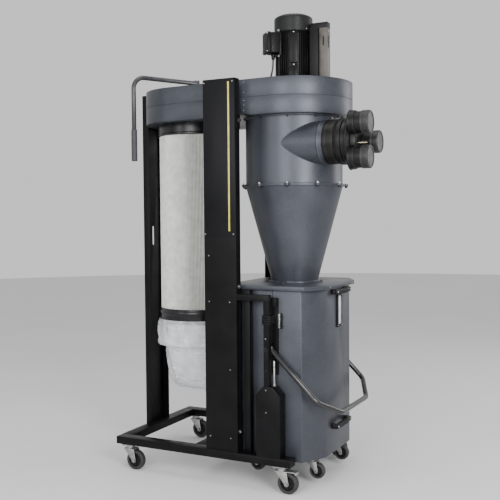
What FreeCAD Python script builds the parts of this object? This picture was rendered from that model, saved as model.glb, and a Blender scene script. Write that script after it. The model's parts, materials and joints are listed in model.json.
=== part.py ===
import FreeCAD, Part
import math
import os

from FreeCAD import Vector

# Mobile two-stage cyclone dust collector, in millimetres, +Z up.
# Machine coordinates: X runs from the filter end to the inlet end, Y from front to rear, Z from
# the floor.  Every solid is moved at the end so that the origin lies on the floor under the centre.

# Base frame and posts
base_length = 974.0
base_depth = 720.0
rail_width = 60.0
rail_height = 38.0
rail_wall = 2.5
mid_cross_x = 437.0
frame_top = 1932.0
post_sheet = 3.0
post_inset = 5.0
post_depth = 46.0
side_post_x = 529.0
side_post_width = 172.0
panel_sheet = 2.0
panel_height = 740.0
panel_margin = 3.0
end_post_width = 172.0
end_post_depth = 36.0
end_slot_centre_z = 1186.0
end_slot_length = 104.0
end_slot_width = 16.0

# Fan housing and filter plenum
sheet = 2.5
housing_height = 168.0
housing_seam = 0.6
filter_x = 287.0
plenum_radius = 265.0
cyclone_from_end = 129.0
fan_radius = 290.0
outlet_radius = 120.0
bracket_width = 38.0
bracket_drop = 66.0
bracket_bearing = 45.0
bracket_sheet = 3.0

# Cyclone barrel, cone and inlet
barrel_radius = 240.0
barrel_height = 328.0
flange_reach = 12.0
flange_thickness = 5.0
cone_foot_radius = 116.0
cone_foot_flange = 8.0
pipe_radius = 100.0
pipe_drop = 134.0
pipe_tuck = 3.0
pipe_end = 260.0
coupling_wall = 6.0
coupling_lap = 22.0
coupling_end = 355.0
drum_flange_reach = 26.0
drum_flange = 12.0
drum_end = 395.0
drum_wall = 14.0
lobe_wall = 6.0
port_ring_radius = 92.0
port_angles = (0.0, 121.6, 238.4)
port_radius = 50.0
port_wall = 2.5
port_lead_step = 0.6
port_end = 445.0
cap_skirt = 24.0
cap_wall = 3.6
cap_face = 15.0
cap_rim = 2.5

# Bin, lid and its posts
lid_top = 960.0
lid_rim_height = 20.0
lid_overhang_x = 20.0
lid_overhang_y = 18.0
lid_sheet = 3.0
bin_length = 456.0
bin_floor_rise = 12.0
bin_rail_gap = 10.0
chamfer_x = 71.0
chamfer_y = 126.0
bin_sheet = 2.0
gasket_height = 8.0
gasket_width = 14.0
lid_post_x = 725.0
lid_post_size = 32.0
tube_wall = 2.0
window_width = 62.0
window_drop = 197.0
window_height = 165.0
window_offset = 10.0
window_proud = 6.0
window_hole_margin = 14.0
handle_length = 196.0
handle_reach = 35.0
handle_bar = 14.0
handle_height = 24.0
handle_low_rise = 122.0
handle_high_drop = 30.0

# Bin lift
lift_travel = 35.0
lift_clearance = 0.5
guide_offset = 10.5
guide_width = 27.0
guide_front = 2.0
guide_depth = 28.0
guide_arm_drop = 47.0
pedestal_offset = 6.5
pedestal_width = 122.0
pedestal_drop = 174.0
shoulder_width = 36.0
shoulder_height = 40.0
pedestal_sheet = 2.5
stop_radius = 5.0
stop_offset = 20.5
stop_drop = 58.0
strap_width = 47.0
strap_thickness = 8.0
strap_tail_drop = 125.0
strap_drop = 35.0
strap_head_height = 40.0
strap_head_depth = 26.0
shoe_wall = 7.0
shoe_drop = 155.0
shoe_height = 43.0
lug_width = 20.0
lug_drop = 179.0
lug_height = 72.0
slide_gap = 0.5
pivot_drop = 270.0
bail_radius = 12.5
bail_angle = -45.0
bail_straight = 333.0
bail_reach = 427.0
bail_grip_from_mid = 177.0
bail_bend = 48.0
bail_grip_bend = 60.0
bail_eye_radius = 17.0
bail_guide_gap = 1.0
pin_radius = 7.0

# Filter, bag and cleaning crank
filter_radius = 200.0
media_depth = 32.0
collar_wall = 7.0
collar_lip = 22.0
top_collar_height = 60.0
media_bottom = 792.0
bottom_collar_height = 58.0
bag_bottom = 352.0
bag_sheet = 1.5
bag_mouth_reach = 10.0
bag_mouth_height = 26.0
bag_neck_in = 24.0
bag_waist_in = 40.0
bag_foot_in = 72.0
bag_neck_drop = 40.0
bag_waist_drop = 200.0
bag_foot_rise = 30.0
bag_foot_round = 20.0
crank_rise = 55.0
crank_reach = 374.0
crank_rest_angle = -116.7
crank_rod_radius = 11.5
crank_bend = 60.0
crank_drop = 415.0
grip_radius = 15.0
grip_length = 158.0
grip_cap = 5.0
hub_radius = 38.0
hub_flange = 6.0
hub_sleeve_radius = 18.0
hub_sleeve_height = 24.0
hub_head_radius = 16.0
hub_head_crown = 3.0

# Motor and starter
motor_radius = 90.0
motor_height = 262.0
motor_wall = 28.0
motor_roof = 45.0
fan_cover_reach = 5.0
fan_cover_height = 81.0
fan_cover_dome = 24.0
fan_cover_lap = 8.0
junction_angle = 228.0
junction_rise = 148.0
junction_height = 104.0
junction_width = 73.0
junction_depth = 62.0
gland_radius = 9.0
gland_length = 25.0
gland_offset = 20.0
starter_gap = 10.0
starter_step = 44.0
starter_cover_depth = 42.0
starter_width = 42.0
starter_back_width = 70.0
starter_top = 289.0
starter_cap = 26.0
starter_gland_z = 30.0
cable_radius = 4.5

# Casters
wheel_radius = 50.0
wheel_width = 32.0
wheel_trail = 35.0
wheel_axle = 6.0
caster_head = 28.0
caster_inset_x = 65.0
caster_inset_right = 59.0
caster_inset_y = 32.0
bin_wheel_radius = 38.0
bin_wheel_width = 28.0
bin_wheel_trail = 28.0
bin_wheel_axle = 5.0
bin_caster_x = 157.0
bin_caster_y = 165.0
caster_plate = 4.0
fork_sheet = 3.0
wheel_side_gap = 5.0
wheel_top_gap = 5.0
pedal_length = 46.0
pedal_sheet = 4.0

# Fits
seam = 0.2
swivel_gap = 0.3
running_fit = 0.06

# Places worked out from the sizes above
mid_y = base_depth / 2
caster_height = 2 * wheel_radius + caster_head
rail_top = caster_height + rail_height
cyclone_x = base_length - cyclone_from_end
housing_bottom = frame_top - housing_height
side_post_end = side_post_x + side_post_width
barrel_bottom = housing_bottom - barrel_height
pipe_z = housing_bottom - pipe_drop
pipe_y = mid_y - barrel_radius + pipe_radius + pipe_tuck
bin_front = rail_width + bin_rail_gap
bin_depth = base_depth - 2 * bin_front
bin_bottom = caster_height + bin_floor_rise
port_lead_radius = port_radius - port_lead_step
bin_left = cyclone_x - bin_length / 2
bin_right = cyclone_x + bin_length / 2
lid_bottom = lid_top - lid_rim_height
bin_top = lid_top - lid_sheet - seam - gasket_height
window_bottom = lid_bottom - window_drop
handle_low_z = bin_bottom + handle_low_rise
handle_high_z = lid_bottom - handle_high_drop
pivot_z = lid_bottom - pivot_drop
pedestal_top = pivot_z - pedestal_drop
stop_top = pivot_z - stop_drop
strap_bottom = pivot_z - strap_tail_drop
strap_top = lid_bottom - strap_drop
shoe_bottom = lid_bottom - shoe_drop
lug_bottom = lid_bottom - lug_drop
guide_arm_bottom = lid_bottom - guide_arm_drop
collar_radius = filter_radius + collar_wall
media_top = housing_bottom - top_collar_height
bag_top = media_bottom - bottom_collar_height
guide_back = guide_front + guide_depth
guide_centre_x = cyclone_x + guide_offset
pedestal_centre_x = guide_centre_x + pedestal_offset
stop_x = guide_centre_x + stop_offset
guide_left = guide_centre_x - guide_width / 2
guide_right = guide_centre_x + guide_width / 2
strap_front = bin_front - strap_thickness
bail_y = guide_back + bail_guide_gap + bail_radius
crank_z = frame_top + crank_rise
crank_foot = crank_z - crank_drop
fan_cover_radius = motor_radius + fan_cover_reach
junction_reach = motor_radius + junction_depth
gland_reach = motor_radius + gland_offset
junction_bottom = frame_top + junction_rise
starter_near = motor_radius + starter_gap
starter_far = starter_near + starter_step + starter_cover_depth
along_x = Vector(1, 0, 0)
along_y = Vector(0, 1, 0)
up = Vector(0, 0, 1)
closed = (0, 0, 0)


def box(x0, x1, y0, y1, z0, z1):
    return Part.makeBox(x1 - x0, y1 - y0, z1 - z0, Vector(x0, y0, z0))


def cylinder(start, direction, length, radius):
    return Part.makeCylinder(radius, length, start, direction)


def ring(start, direction, length, outer, inner):
    return cylinder(start, direction, length, outer).cut(cylinder(start, direction, length, inner))


def prism(points, direction):
    closed = points + [points[0]]
    return Part.Face(Part.makePolygon(closed)).extrude(direction)


def turned(profile, x, y):
    """A solid of revolution about a vertical axis, from (radius, height) points."""
    points = [Vector(x + radius, y, z) for radius, z in profile]
    face = Part.Face(Part.makePolygon(points + [points[0]]))
    return face.revolve(Vector(x, y, 0), up, 360)


def mirrored(shape):
    """The same piece on the rear side of the machine."""
    return shape.mirror(Vector(0, mid_y, 0), along_y)


def pair(shape):
    return [shape, mirrored(shape)]


def arc_path(points, radii):
    """Straight runs between the points, joined by tangent arcs of the given radii."""
    edges = []
    start = points[0]
    for i, radius in enumerate(radii, start=1):
        corner = points[i]
        back = (points[i - 1] - corner).normalize()
        ahead = (points[i + 1] - corner).normalize()
        half_turn = (math.pi - back.getAngle(ahead)) / 2
        setback = radius * math.tan(half_turn)
        inward = (back + ahead).normalize()
        middle = corner + inward * (radius / math.cos(half_turn) - radius)
        arc_start = corner + back * setback
        arc_end = corner + ahead * setback
        edges.append(Part.LineSegment(start, arc_start).toShape())
        edges.append(Part.Arc(arc_start, middle, arc_end).toShape())
        start = arc_end
    edges.append(Part.LineSegment(start, points[-1]).toShape())
    return Part.Wire(edges)


def rod(points, radii, radius):
    """A round bar or tube bent along the points."""
    path = arc_path(points, radii)
    first_run = points[1] - points[0]
    profile = Part.Wire(Part.Circle(points[0], first_run, radius).toShape())
    return path.makePipeShell([profile], True, True)


def square_tube(x0, x1, y0, y1, z0, z1, wall, direction):
    """A rectangular tube, open at both ends along the direction, or closed where there is none."""
    outer = box(x0, x1, y0, y1, z0, z1)
    clear = [0 if along else wall for along in direction]
    inner = box(x0 + clear[0], x1 - clear[0], y0 + clear[1], y1 - clear[1],
                z0 + clear[2], z1 - clear[2])
    return outer.cut(inner)


def save(node, solids):
    """Writes one node, moved so that the origin is on the floor under the whole machine."""
    shape = Part.makeCompound(solids) if len(solids) > 1 else solids[0]
    overall_length = cyclone_x + port_end + cap_face
    shape.translate(Vector(-overall_length / 2, -mid_y, 0))
    shape.exportStep(f"parts/{node}.step")


def side_rails():
    rail = square_tube(0, base_length, 0, rail_width, caster_height, rail_top, rail_wall, closed)
    return pair(rail)


def cross_rails():
    rails = []
    for x in (0, mid_cross_x):
        rails.append(square_tube(x, x + rail_width, rail_width, base_depth - rail_width,
                                 caster_height, rail_top, rail_wall, (0, 1, 0)))
    return rails


def side_post():
    """A folded channel with its web to the front and its flanges to the middle."""
    y0 = post_inset
    outer = box(side_post_x, side_post_end, y0, y0 + post_depth, rail_top, frame_top)
    hollow = box(side_post_x + post_sheet, side_post_end - post_sheet, y0 + post_sheet,
                 y0 + post_depth, rail_top, frame_top)
    return outer.cut(hollow)


def end_post():
    """The channel at the filter end, its flanges up to the plenum, with a slot in its web."""
    y0 = mid_y - end_post_width / 2
    outer = box(0, end_post_depth, y0, y0 + end_post_width, rail_top, frame_top)
    hollow = box(post_sheet, end_post_depth, y0 + post_sheet, y0 + end_post_width - post_sheet,
                 rail_top, frame_top)
    half = (end_slot_length - end_slot_width) / 2
    slot = box(0, post_sheet, mid_y - end_slot_width / 2, mid_y + end_slot_width / 2,
               end_slot_centre_z - half, end_slot_centre_z + half)
    for z in (end_slot_centre_z - half, end_slot_centre_z + half):
        slot = slot.fuse(cylinder(Vector(0, mid_y, z), along_x, post_sheet, end_slot_width / 2))
    plenum = cylinder(Vector(filter_x, mid_y, rail_top), up, frame_top - rail_top, plenum_radius + seam)
    return outer.cut(hollow).cut(slot).cut(plenum)


def front_panel():
    return box(side_post_x + panel_margin, side_post_end - panel_margin, post_inset - panel_sheet,
               post_inset, frame_top - panel_margin - panel_height, frame_top - panel_margin)


def duct_bracket():
    """A folded angle on the side post's flange that carries the housing."""
    top = housing_bottom
    y0 = post_inset + post_depth - bracket_width
    leg = box(side_post_end, side_post_end + bracket_sheet, y0, y0 + bracket_width,
              top - bracket_drop, top)
    foot = box(side_post_end, side_post_end + bracket_width, y0, mid_y - fan_radius + bracket_bearing,
               top - bracket_sheet, top)
    return leg.fuse(foot)


def stadium(inset, z, height):
    """The outline round the plenum and the fan housing, two circles joined by tangents."""
    r1 = plenum_radius - inset
    r2 = fan_radius - inset
    lean = (r1 - r2) / (cyclone_x - filter_x)
    rise = math.sqrt(1 - lean * lean)
    rear = [Vector(filter_x + r1 * lean, mid_y + r1 * rise, z),
            Vector(cyclone_x + r2 * lean, mid_y + r2 * rise, z)]
    near = [Vector(point.x, 2 * mid_y - point.y, z) for point in rear]
    edges = [
        Part.LineSegment(rear[0], rear[1]).toShape(),
        Part.Arc(rear[1], Vector(cyclone_x + r2, mid_y, z), near[1]).toShape(),
        Part.LineSegment(near[1], near[0]).toShape(),
        Part.Arc(near[0], Vector(filter_x - r1, mid_y, z), rear[0]).toShape(),
    ]
    return Part.Face(Part.Wire(edges)).extrude(Vector(0, 0, height))


def housing_band(z0, z1):
    return stadium(0, z0, z1 - z0).cut(stadium(sheet, z0, z1 - z0))


def housing_plates():
    """The bottom plate has the filter mouth and the cyclone outlet, the top plate the shaft hole."""
    top = stadium(0, frame_top - sheet, sheet)
    bottom = stadium(0, housing_bottom, sheet)
    filter_mouth = cylinder(Vector(filter_x, mid_y, housing_bottom), up, sheet,
                            filter_radius - media_depth)
    outlet = cylinder(Vector(cyclone_x, mid_y, housing_bottom), up, sheet, outlet_radius)
    return top, bottom.cut(filter_mouth).cut(outlet)


def cyclone_barrel():
    height = housing_bottom - barrel_bottom
    centre = Vector(cyclone_x, mid_y, barrel_bottom)
    barrel = ring(centre, up, height, barrel_radius, barrel_radius - sheet)
    flange_outer = barrel_radius + flange_reach
    for z in (barrel_bottom, housing_bottom - flange_thickness):
        flange = ring(Vector(cyclone_x, mid_y, z), up, flange_thickness, flange_outer, barrel_radius)
        barrel = barrel.fuse(flange)
    mouth = cylinder(Vector(cyclone_x, pipe_y, pipe_z), along_x, pipe_end, pipe_radius - sheet)
    return barrel.cut(mouth)


def cyclone_cone():
    foot_z = lid_top
    top_z = barrel_bottom
    profile = [
        (cone_foot_radius, foot_z),
        (cone_foot_radius + cone_foot_flange, foot_z),
        (cone_foot_radius + cone_foot_flange, foot_z + flange_thickness),
        (cone_foot_radius, foot_z + flange_thickness),
        (barrel_radius, top_z - flange_thickness),
        (barrel_radius + flange_reach, top_z - flange_thickness),
        (barrel_radius + flange_reach, top_z),
        (barrel_radius - sheet, top_z),
        (barrel_radius - sheet, top_z - flange_thickness),
        (cone_foot_radius - sheet, foot_z + flange_thickness),
        (cone_foot_radius - sheet, foot_z),
    ]
    return turned(profile, cyclone_x, mid_y)


def inlet_pipe():
    """The tangential inlet, trimmed to the barrel's outside."""
    start = Vector(cyclone_x, pipe_y, pipe_z)
    pipe = ring(start, along_x, pipe_end, pipe_radius, pipe_radius - sheet)
    barrel = cylinder(Vector(cyclone_x, mid_y, barrel_bottom), up, housing_bottom - barrel_bottom,
                      barrel_radius + seam)
    return pipe.cut(barrel)


def inlet_coupling():
    """A flexible cuff over the pipe's end, with a raised band at each end."""
    x0 = cyclone_x + pipe_end - coupling_lap
    x1 = cyclone_x + coupling_end
    cuff = ring(Vector(x0, pipe_y, pipe_z), along_x, x1 - x0, pipe_radius + coupling_wall,
                pipe_radius + seam)
    return cuff


def port_centres():
    """Centres of the manifold's ports in the plane across the inlet."""
    centres = []
    for angle in port_angles:
        turn = math.radians(angle)
        centres.append((pipe_y + port_ring_radius * math.cos(turn),
                        pipe_z + port_ring_radius * math.sin(turn)))
    return centres


def manifold_drum():
    """A flange and a three-lobed chamber that joins the ports to the inlet."""
    x0 = cyclone_x + coupling_end
    x1 = cyclone_x + drum_end
    centre = Vector(x0, pipe_y, pipe_z)
    drum = cylinder(centre, along_x, drum_flange, pipe_radius + drum_flange_reach)
    drum = drum.fuse(cylinder(centre, along_x, x1 - x0, pipe_radius))
    for y, z in port_centres():
        drum = drum.fuse(cylinder(Vector(x0 + drum_flange, y, z), along_x,
                                  x1 - x0 - drum_flange, port_radius + lobe_wall))
    chamber = cylinder(centre, along_x, x1 - x0 - drum_wall, pipe_radius - sheet)
    drum = drum.cut(chamber)
    for y, z in port_centres():
        drum = drum.cut(cylinder(Vector(x0 + drum_flange + sheet, y, z), along_x, x1 - x0,
                                 port_radius - port_wall))
    return drum.removeSplitter()


def inlet_ports():
    """Each port has a seat for a hose and, outside it, a slightly slimmer lead for the cap."""
    x0 = cyclone_x + drum_end
    length = port_end - drum_end
    bore = port_radius - port_wall
    ports = []
    for y, z in port_centres():
        seat = ring(Vector(x0, y, z), along_x, length - cap_skirt, port_radius, bore)
        lead = ring(Vector(x0, y, z), along_x, length, port_lead_radius, bore)
        ports.append(seat.fuse(lead))
    return ports


def port_cap(y, z):
    """A cup that slips over the port's lead."""
    x1 = cyclone_x + port_end
    inner = port_lead_radius + swivel_gap
    outer = inner + cap_wall
    skirt = ring(Vector(x1 - cap_skirt, y, z), along_x, cap_skirt, outer, inner)
    face = cylinder(Vector(x1 + swivel_gap, y, z), along_x, cap_face - swivel_gap, outer)
    rim = ring(Vector(x1, y, z), along_x, cap_face / 2, outer, port_radius - port_wall)
    return skirt.fuse(rim).fuse(face).removeSplitter()


def octagon(x0, x1, y0, y1, cut_x, cut_y, z):
    corners = [(x0 + cut_x, y0), (x1 - cut_x, y0), (x1, y0 + cut_y), (x1, y1 - cut_y),
               (x1 - cut_x, y1), (x0 + cut_x, y1), (x0, y1 - cut_y), (x0, y0 + cut_y)]
    return [Vector(x, y, z) for x, y in corners]


def bin_prism(grow_x, grow_y, z0, z1):
    """The bin's eight-sided outline, grown or shrunk on every side."""
    outline = octagon(bin_left - grow_x, bin_right + grow_x, bin_front - grow_y,
                      base_depth - bin_front + grow_y, chamfer_x, chamfer_y, z0)
    return prism(outline, Vector(0, 0, z1 - z0))


def bin_lid():
    """A folded tray, fixed under the cone, that closes the bin."""
    tray = bin_prism(lid_overhang_x, lid_overhang_y, lid_bottom, lid_top)
    inside = bin_prism(lid_overhang_x - lid_sheet, lid_overhang_y - lid_sheet, lid_bottom,
                       lid_top - lid_sheet)
    hole = cylinder(Vector(cyclone_x, mid_y, lid_bottom), up, lid_rim_height,
                    cone_foot_radius - sheet)
    return tray.cut(inside).cut(hole)


def lid_post():
    return square_tube(lid_post_x, lid_post_x + lid_post_size, guide_back, rail_width,
                       rail_top, lid_bottom, tube_wall, (0, 0, 1))


def bin_shell():
    shell = bin_prism(0, 0, bin_bottom, bin_top)
    inside = bin_prism(-bin_sheet, -bin_sheet, bin_bottom + bin_sheet, bin_top)
    y0, y1, z0, z1 = window_edges(window_hole_margin)
    window = box(bin_right - bin_sheet, bin_right, y0, y1, z0, z1)
    return shell.cut(inside).cut(window)


def window_edges(margin):
    """Low and high Y and Z of the sight window, inside its frame by the margin."""
    middle = mid_y + window_offset
    half = window_width / 2
    top = window_bottom + window_height
    return middle - half + margin, middle + half - margin, window_bottom + margin, top - margin


def bin_window():
    y0, y1, z0, z1 = window_edges(0)
    return box(bin_right, bin_right + window_proud, y0, y1, z0, z1)


def bin_gasket():
    outer = bin_prism(0, 0, bin_top, bin_top + gasket_height)
    inner = bin_prism(-gasket_width, -gasket_width, bin_top, bin_top + gasket_height)
    return outer.cut(inner)


def bin_handle(z):
    """A bar on two feet, with room for the fingers behind it."""
    y0 = mid_y - handle_length / 2
    y1 = mid_y + handle_length / 2
    block = box(bin_right, bin_right + handle_reach, y0, y1, z, z + handle_height)
    gap = box(bin_right, bin_right + handle_reach - handle_bar, y0 + handle_bar, y1 - handle_bar,
              z, z + handle_height)
    return block.cut(gap)


def pedestal():
    """A folded box on the side rail, with sloping shoulders, and the lever's stop rod."""
    x0 = pedestal_centre_x - pedestal_width / 2
    x1 = pedestal_centre_x + pedestal_width / 2
    z_shoulder = pedestal_top - shoulder_height

    def outline(inset, z0):
        corners = [(x0 + inset, z0), (x1 - inset, z0), (x1 - inset, z_shoulder - inset / 2),
                   (x1 - shoulder_width - inset / 2, pedestal_top - inset),
                   (x0 + shoulder_width + inset / 2, pedestal_top - inset),
                   (x0 + inset, z_shoulder - inset / 2)]
        return [Vector(x, inset, z) for x, z in corners]

    outer = prism(outline(0, rail_top), Vector(0, rail_width, 0))
    inner = prism(outline(pedestal_sheet, rail_top), Vector(0, rail_width - 2 * pedestal_sheet, 0))
    stop = cylinder(Vector(stop_x, bail_y, pedestal_top), up, stop_top - pedestal_top, stop_radius)
    return outer.cut(inner).fuse(stop)


def lift_frame():
    """The guide post on the pedestal and the arm that ties it to the side post."""
    post = square_tube(guide_left, guide_right, guide_front, guide_back, pedestal_top,
                       guide_arm_bottom, tube_wall, (0, 0, 1))
    arm = square_tube(side_post_end, guide_right, guide_front, guide_back, guide_arm_bottom,
                      guide_arm_bottom + guide_depth, tube_wall, (1, 0, 0))
    bore = cylinder(Vector(guide_centre_x, guide_front, pivot_z), along_y, guide_depth,
                    pin_radius + running_fit)
    return post.fuse(arm).cut(bore)


def lift_strap():
    """The bar on the bin's side, with the shoe that runs on the guide post."""
    x0 = guide_left
    x1 = guide_left + strap_width
    bar = box(x0, x1, strap_front, bin_front, strap_bottom, strap_top)
    head = box(x0, x1, bin_front - strap_head_depth, bin_front, strap_top - strap_head_height,
               strap_top)
    lug = box(x1, x1 + lug_width, strap_front, bin_front, lug_bottom, lug_bottom + lug_height)
    shoe = box(guide_left - shoe_wall, guide_right + shoe_wall, 0, bin_front, shoe_bottom,
               shoe_bottom + shoe_height)
    track = box(guide_left - slide_gap, guide_right + slide_gap, 0, guide_back + slide_gap,
                shoe_bottom, shoe_bottom + shoe_height)
    return bar.fuse(head).fuse(lug).fuse(shoe.cut(track)).removeSplitter()


def lift_bail():
    """The U-shaped lever, with an eye and a pin at each end."""
    angle = math.radians(bail_angle)

    def point(along, y):
        return Vector(guide_centre_x + along * math.cos(angle), y, pivot_z + along * math.sin(angle))

    grip = mid_y - bail_grip_from_mid
    near = [point(0, bail_y), point(bail_straight, bail_y), point(bail_reach, grip)]
    far = [Vector(p.x, 2 * mid_y - p.y, p.z) for p in reversed(near)]
    bends = [bail_bend, bail_grip_bend, bail_grip_bend, bail_bend]
    bail = rod(near + far, bends, bail_radius)
    eye = cylinder(Vector(guide_centre_x, bail_y - bail_radius, pivot_z), along_y, 2 * bail_radius,
                   bail_eye_radius)
    pin = cylinder(Vector(guide_centre_x, guide_front, pivot_z), along_y, bail_y - guide_front,
                   pin_radius)
    ends = eye.fuse(pin)
    return bail.fuse(ends).fuse(mirrored(ends))


def filter_collar(z0, height):
    """A rolled cap ring, with a lip inside that holds the media's end."""
    wall = ring(Vector(filter_x, mid_y, z0), up, height, collar_radius, filter_radius)
    lip = ring(Vector(filter_x, mid_y, z0), up, height, filter_radius, filter_radius - collar_lip)
    return wall.fuse(lip)


def filter_media():
    return ring(Vector(filter_x, mid_y, media_bottom), up, media_top - media_bottom, filter_radius,
                filter_radius - media_depth)


def dust_bag():
    """The clear bag, a thin shell, strapped round the bottom collar."""
    clear = collar_radius + swivel_gap
    mouth = collar_radius + bag_mouth_reach
    mouth_top = bag_top + bag_mouth_height
    below = bag_top - swivel_gap
    bends = [(filter_radius - bag_neck_in, below - bag_neck_drop),
             (filter_radius - bag_waist_in, below - bag_waist_drop),
             (filter_radius - bag_foot_in, bag_bottom + bag_foot_rise)]
    foot = filter_radius - bag_foot_in - bag_foot_round
    outer = [(mouth, mouth_top), (mouth, below)] + bends + [(foot, bag_bottom)]
    inner = [(0, bag_bottom), (0, bag_bottom + bag_sheet), (foot, bag_bottom + bag_sheet)]
    inner += [(radius - bag_sheet, z) for radius, z in reversed(bends)]
    inner += [(clear, below - bag_sheet), (clear, mouth_top)]
    return turned(outer + inner, filter_x, mid_y)


def crank_hub():
    """A flanged bearing for the crank's shaft on the plenum's top."""
    centre = Vector(filter_x, mid_y, frame_top)
    flange = ring(centre, up, hub_flange, hub_radius, crank_rod_radius + running_fit)
    sleeve = ring(centre, up, hub_flange + hub_sleeve_height, hub_sleeve_radius,
                  crank_rod_radius + running_fit)
    return flange.fuse(sleeve)


def crank_direction():
    turn = math.radians(crank_rest_angle)
    return Vector(math.cos(turn), math.sin(turn), 0)


def crank_arm():
    axis = Vector(filter_x, mid_y, 0)
    start = axis + up * crank_z
    corner = start + crank_direction() * crank_reach
    foot = Vector(corner.x, corner.y, crank_foot)
    bar = rod([start, corner, foot], [crank_bend], crank_rod_radius)
    shaft_bottom = frame_top + swivel_gap
    head_bottom = frame_top + hub_flange + hub_sleeve_height + swivel_gap
    shaft = cylinder(axis + up * shaft_bottom, up, head_bottom - shaft_bottom, crank_rod_radius)
    head_top = crank_z + crank_rod_radius + hub_head_crown
    head = cylinder(axis + up * head_bottom, up, head_top - head_bottom, hub_head_radius)
    return bar.fuse(shaft).fuse(head)


def crank_grip():
    foot = Vector(filter_x, mid_y, crank_foot) + crank_direction() * crank_reach
    sleeve = ring(foot, up, grip_length - grip_cap, grip_radius, crank_rod_radius + running_fit)
    cap = cylinder(foot - up * grip_cap, up, grip_cap - seam, grip_radius)
    base = ring(foot - up * seam, up, seam, grip_radius, crank_rod_radius + running_fit)
    return sleeve.fuse(base).fuse(cap).removeSplitter()


def motor_body():
    centre = Vector(cyclone_x, mid_y, frame_top)
    body = cylinder(centre, up, motor_height, motor_radius)
    return body.cut(cylinder(centre, up, motor_height - motor_roof,
                             motor_radius - motor_wall))


def motor_fan_cover():
    """A domed cover over the motor's cooling fan."""
    z0 = frame_top + motor_height - fan_cover_lap
    height = fan_cover_height + fan_cover_lap
    wall_height = height - fan_cover_dome
    outer = cylinder(Vector(cyclone_x, mid_y, z0), up, height, fan_cover_radius)
    top_edges = [e for e in outer.Edges if e.BoundBox.ZMin > z0 + wall_height]
    outer = outer.makeFillet(fan_cover_dome, top_edges)
    inner = cylinder(Vector(cyclone_x, mid_y, z0), up, wall_height, motor_radius + seam)
    return outer.cut(inner)


def junction_box():
    """The terminal box on the motor's side, with the cable's gland below."""
    half = junction_width / 2
    block = box(0, junction_reach, -half, half, junction_bottom, junction_bottom + junction_height)
    gland = cylinder(Vector(gland_reach, 0, junction_bottom - gland_length), up, gland_length,
                     gland_radius)
    whole = block.fuse(gland)
    whole.rotate(Vector(0, 0, 0), up, junction_angle)
    whole.translate(Vector(cyclone_x, mid_y, 0))
    motor = cylinder(Vector(cyclone_x, mid_y, frame_top), up, motor_height, motor_radius + seam)
    return whole.cut(motor)


def starter():
    """The starter's black back box with its cap, and the pale cover on it."""
    x0 = cyclone_x + starter_near
    x1 = x0 + starter_step
    x2 = cyclone_x + starter_far
    half = starter_width / 2
    back_half = starter_back_width / 2
    z1 = frame_top + starter_top
    z_cap = z1 - starter_cap
    back = box(x0, x1, mid_y - back_half, mid_y + back_half, frame_top, z_cap)
    cap = box(x0, x2, mid_y - half, mid_y + half, z_cap, z1)
    gland = cylinder(Vector((x0 + x1) / 2, mid_y + back_half, frame_top + starter_gland_z), along_y,
                     gland_length, gland_radius)
    cover = box(x1, x2, mid_y - half, mid_y + half, frame_top, z_cap)
    return cover, back.fuse(cap).fuse(gland)


def cable_route():
    """From the junction box's gland down to the housing's top, round the motor's rear side and
    up to the starter's gland.  The points are chosen by hand."""
    turn = math.radians(junction_angle)
    x0 = cyclone_x + gland_reach * math.cos(turn)
    y0 = mid_y + gland_reach * math.sin(turn)
    z0 = junction_bottom - gland_length
    x_end = cyclone_x + starter_near + starter_step / 2
    y_end = mid_y + starter_back_width / 2 + gland_length
    z_end = frame_top + starter_gland_z
    return [Vector(x, y, z) for x, y, z in (
        (x0, y0, z0),
        (x0, y0, z0 - 42),
        (x0 - 14, y0 + 2, z0 - 84),
        (x0 - 34, y0 + 34, frame_top + 7),
        (x0 - 44, y0 + 94, frame_top + 6),
        (x0 - 22, y0 + 156, frame_top + 6),
        (x0 + 32, y0 + 212, frame_top + 6),
        (x0 + 92, y0 + 238, frame_top + 6),
        (x0 + 150, y0 + 236, frame_top + 7),
        (x_end, y_end + 55, z_end),
        (x_end, y_end, z_end),
    )]


def cable():
    points = cable_route()
    radii = []
    for i in range(1, len(points) - 1):
        back = points[i - 1] - points[i]
        ahead = points[i + 1] - points[i]
        shorter = min(back.Length, ahead.Length)
        half_turn = (math.pi - back.getAngle(ahead)) / 2
        radii.append(0.45 * shorter / math.tan(half_turn))
    tube = rod(points, radii, cable_radius)
    length = arc_path(points, radii).Length
    section = math.pi * cable_radius ** 2
    print("cable bend radii", [round(radius) for radius in radii])
    print("cable length", round(length), "volume over section times length",
          round(tube.Volume / (section * length), 4))
    return tube


def caster_plates(places, plate_bottom):
    half = wheel_width
    return [box(x - half, x + half, y - half, y + half, plate_bottom, plate_bottom + caster_plate)
            for x, y in places]


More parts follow.
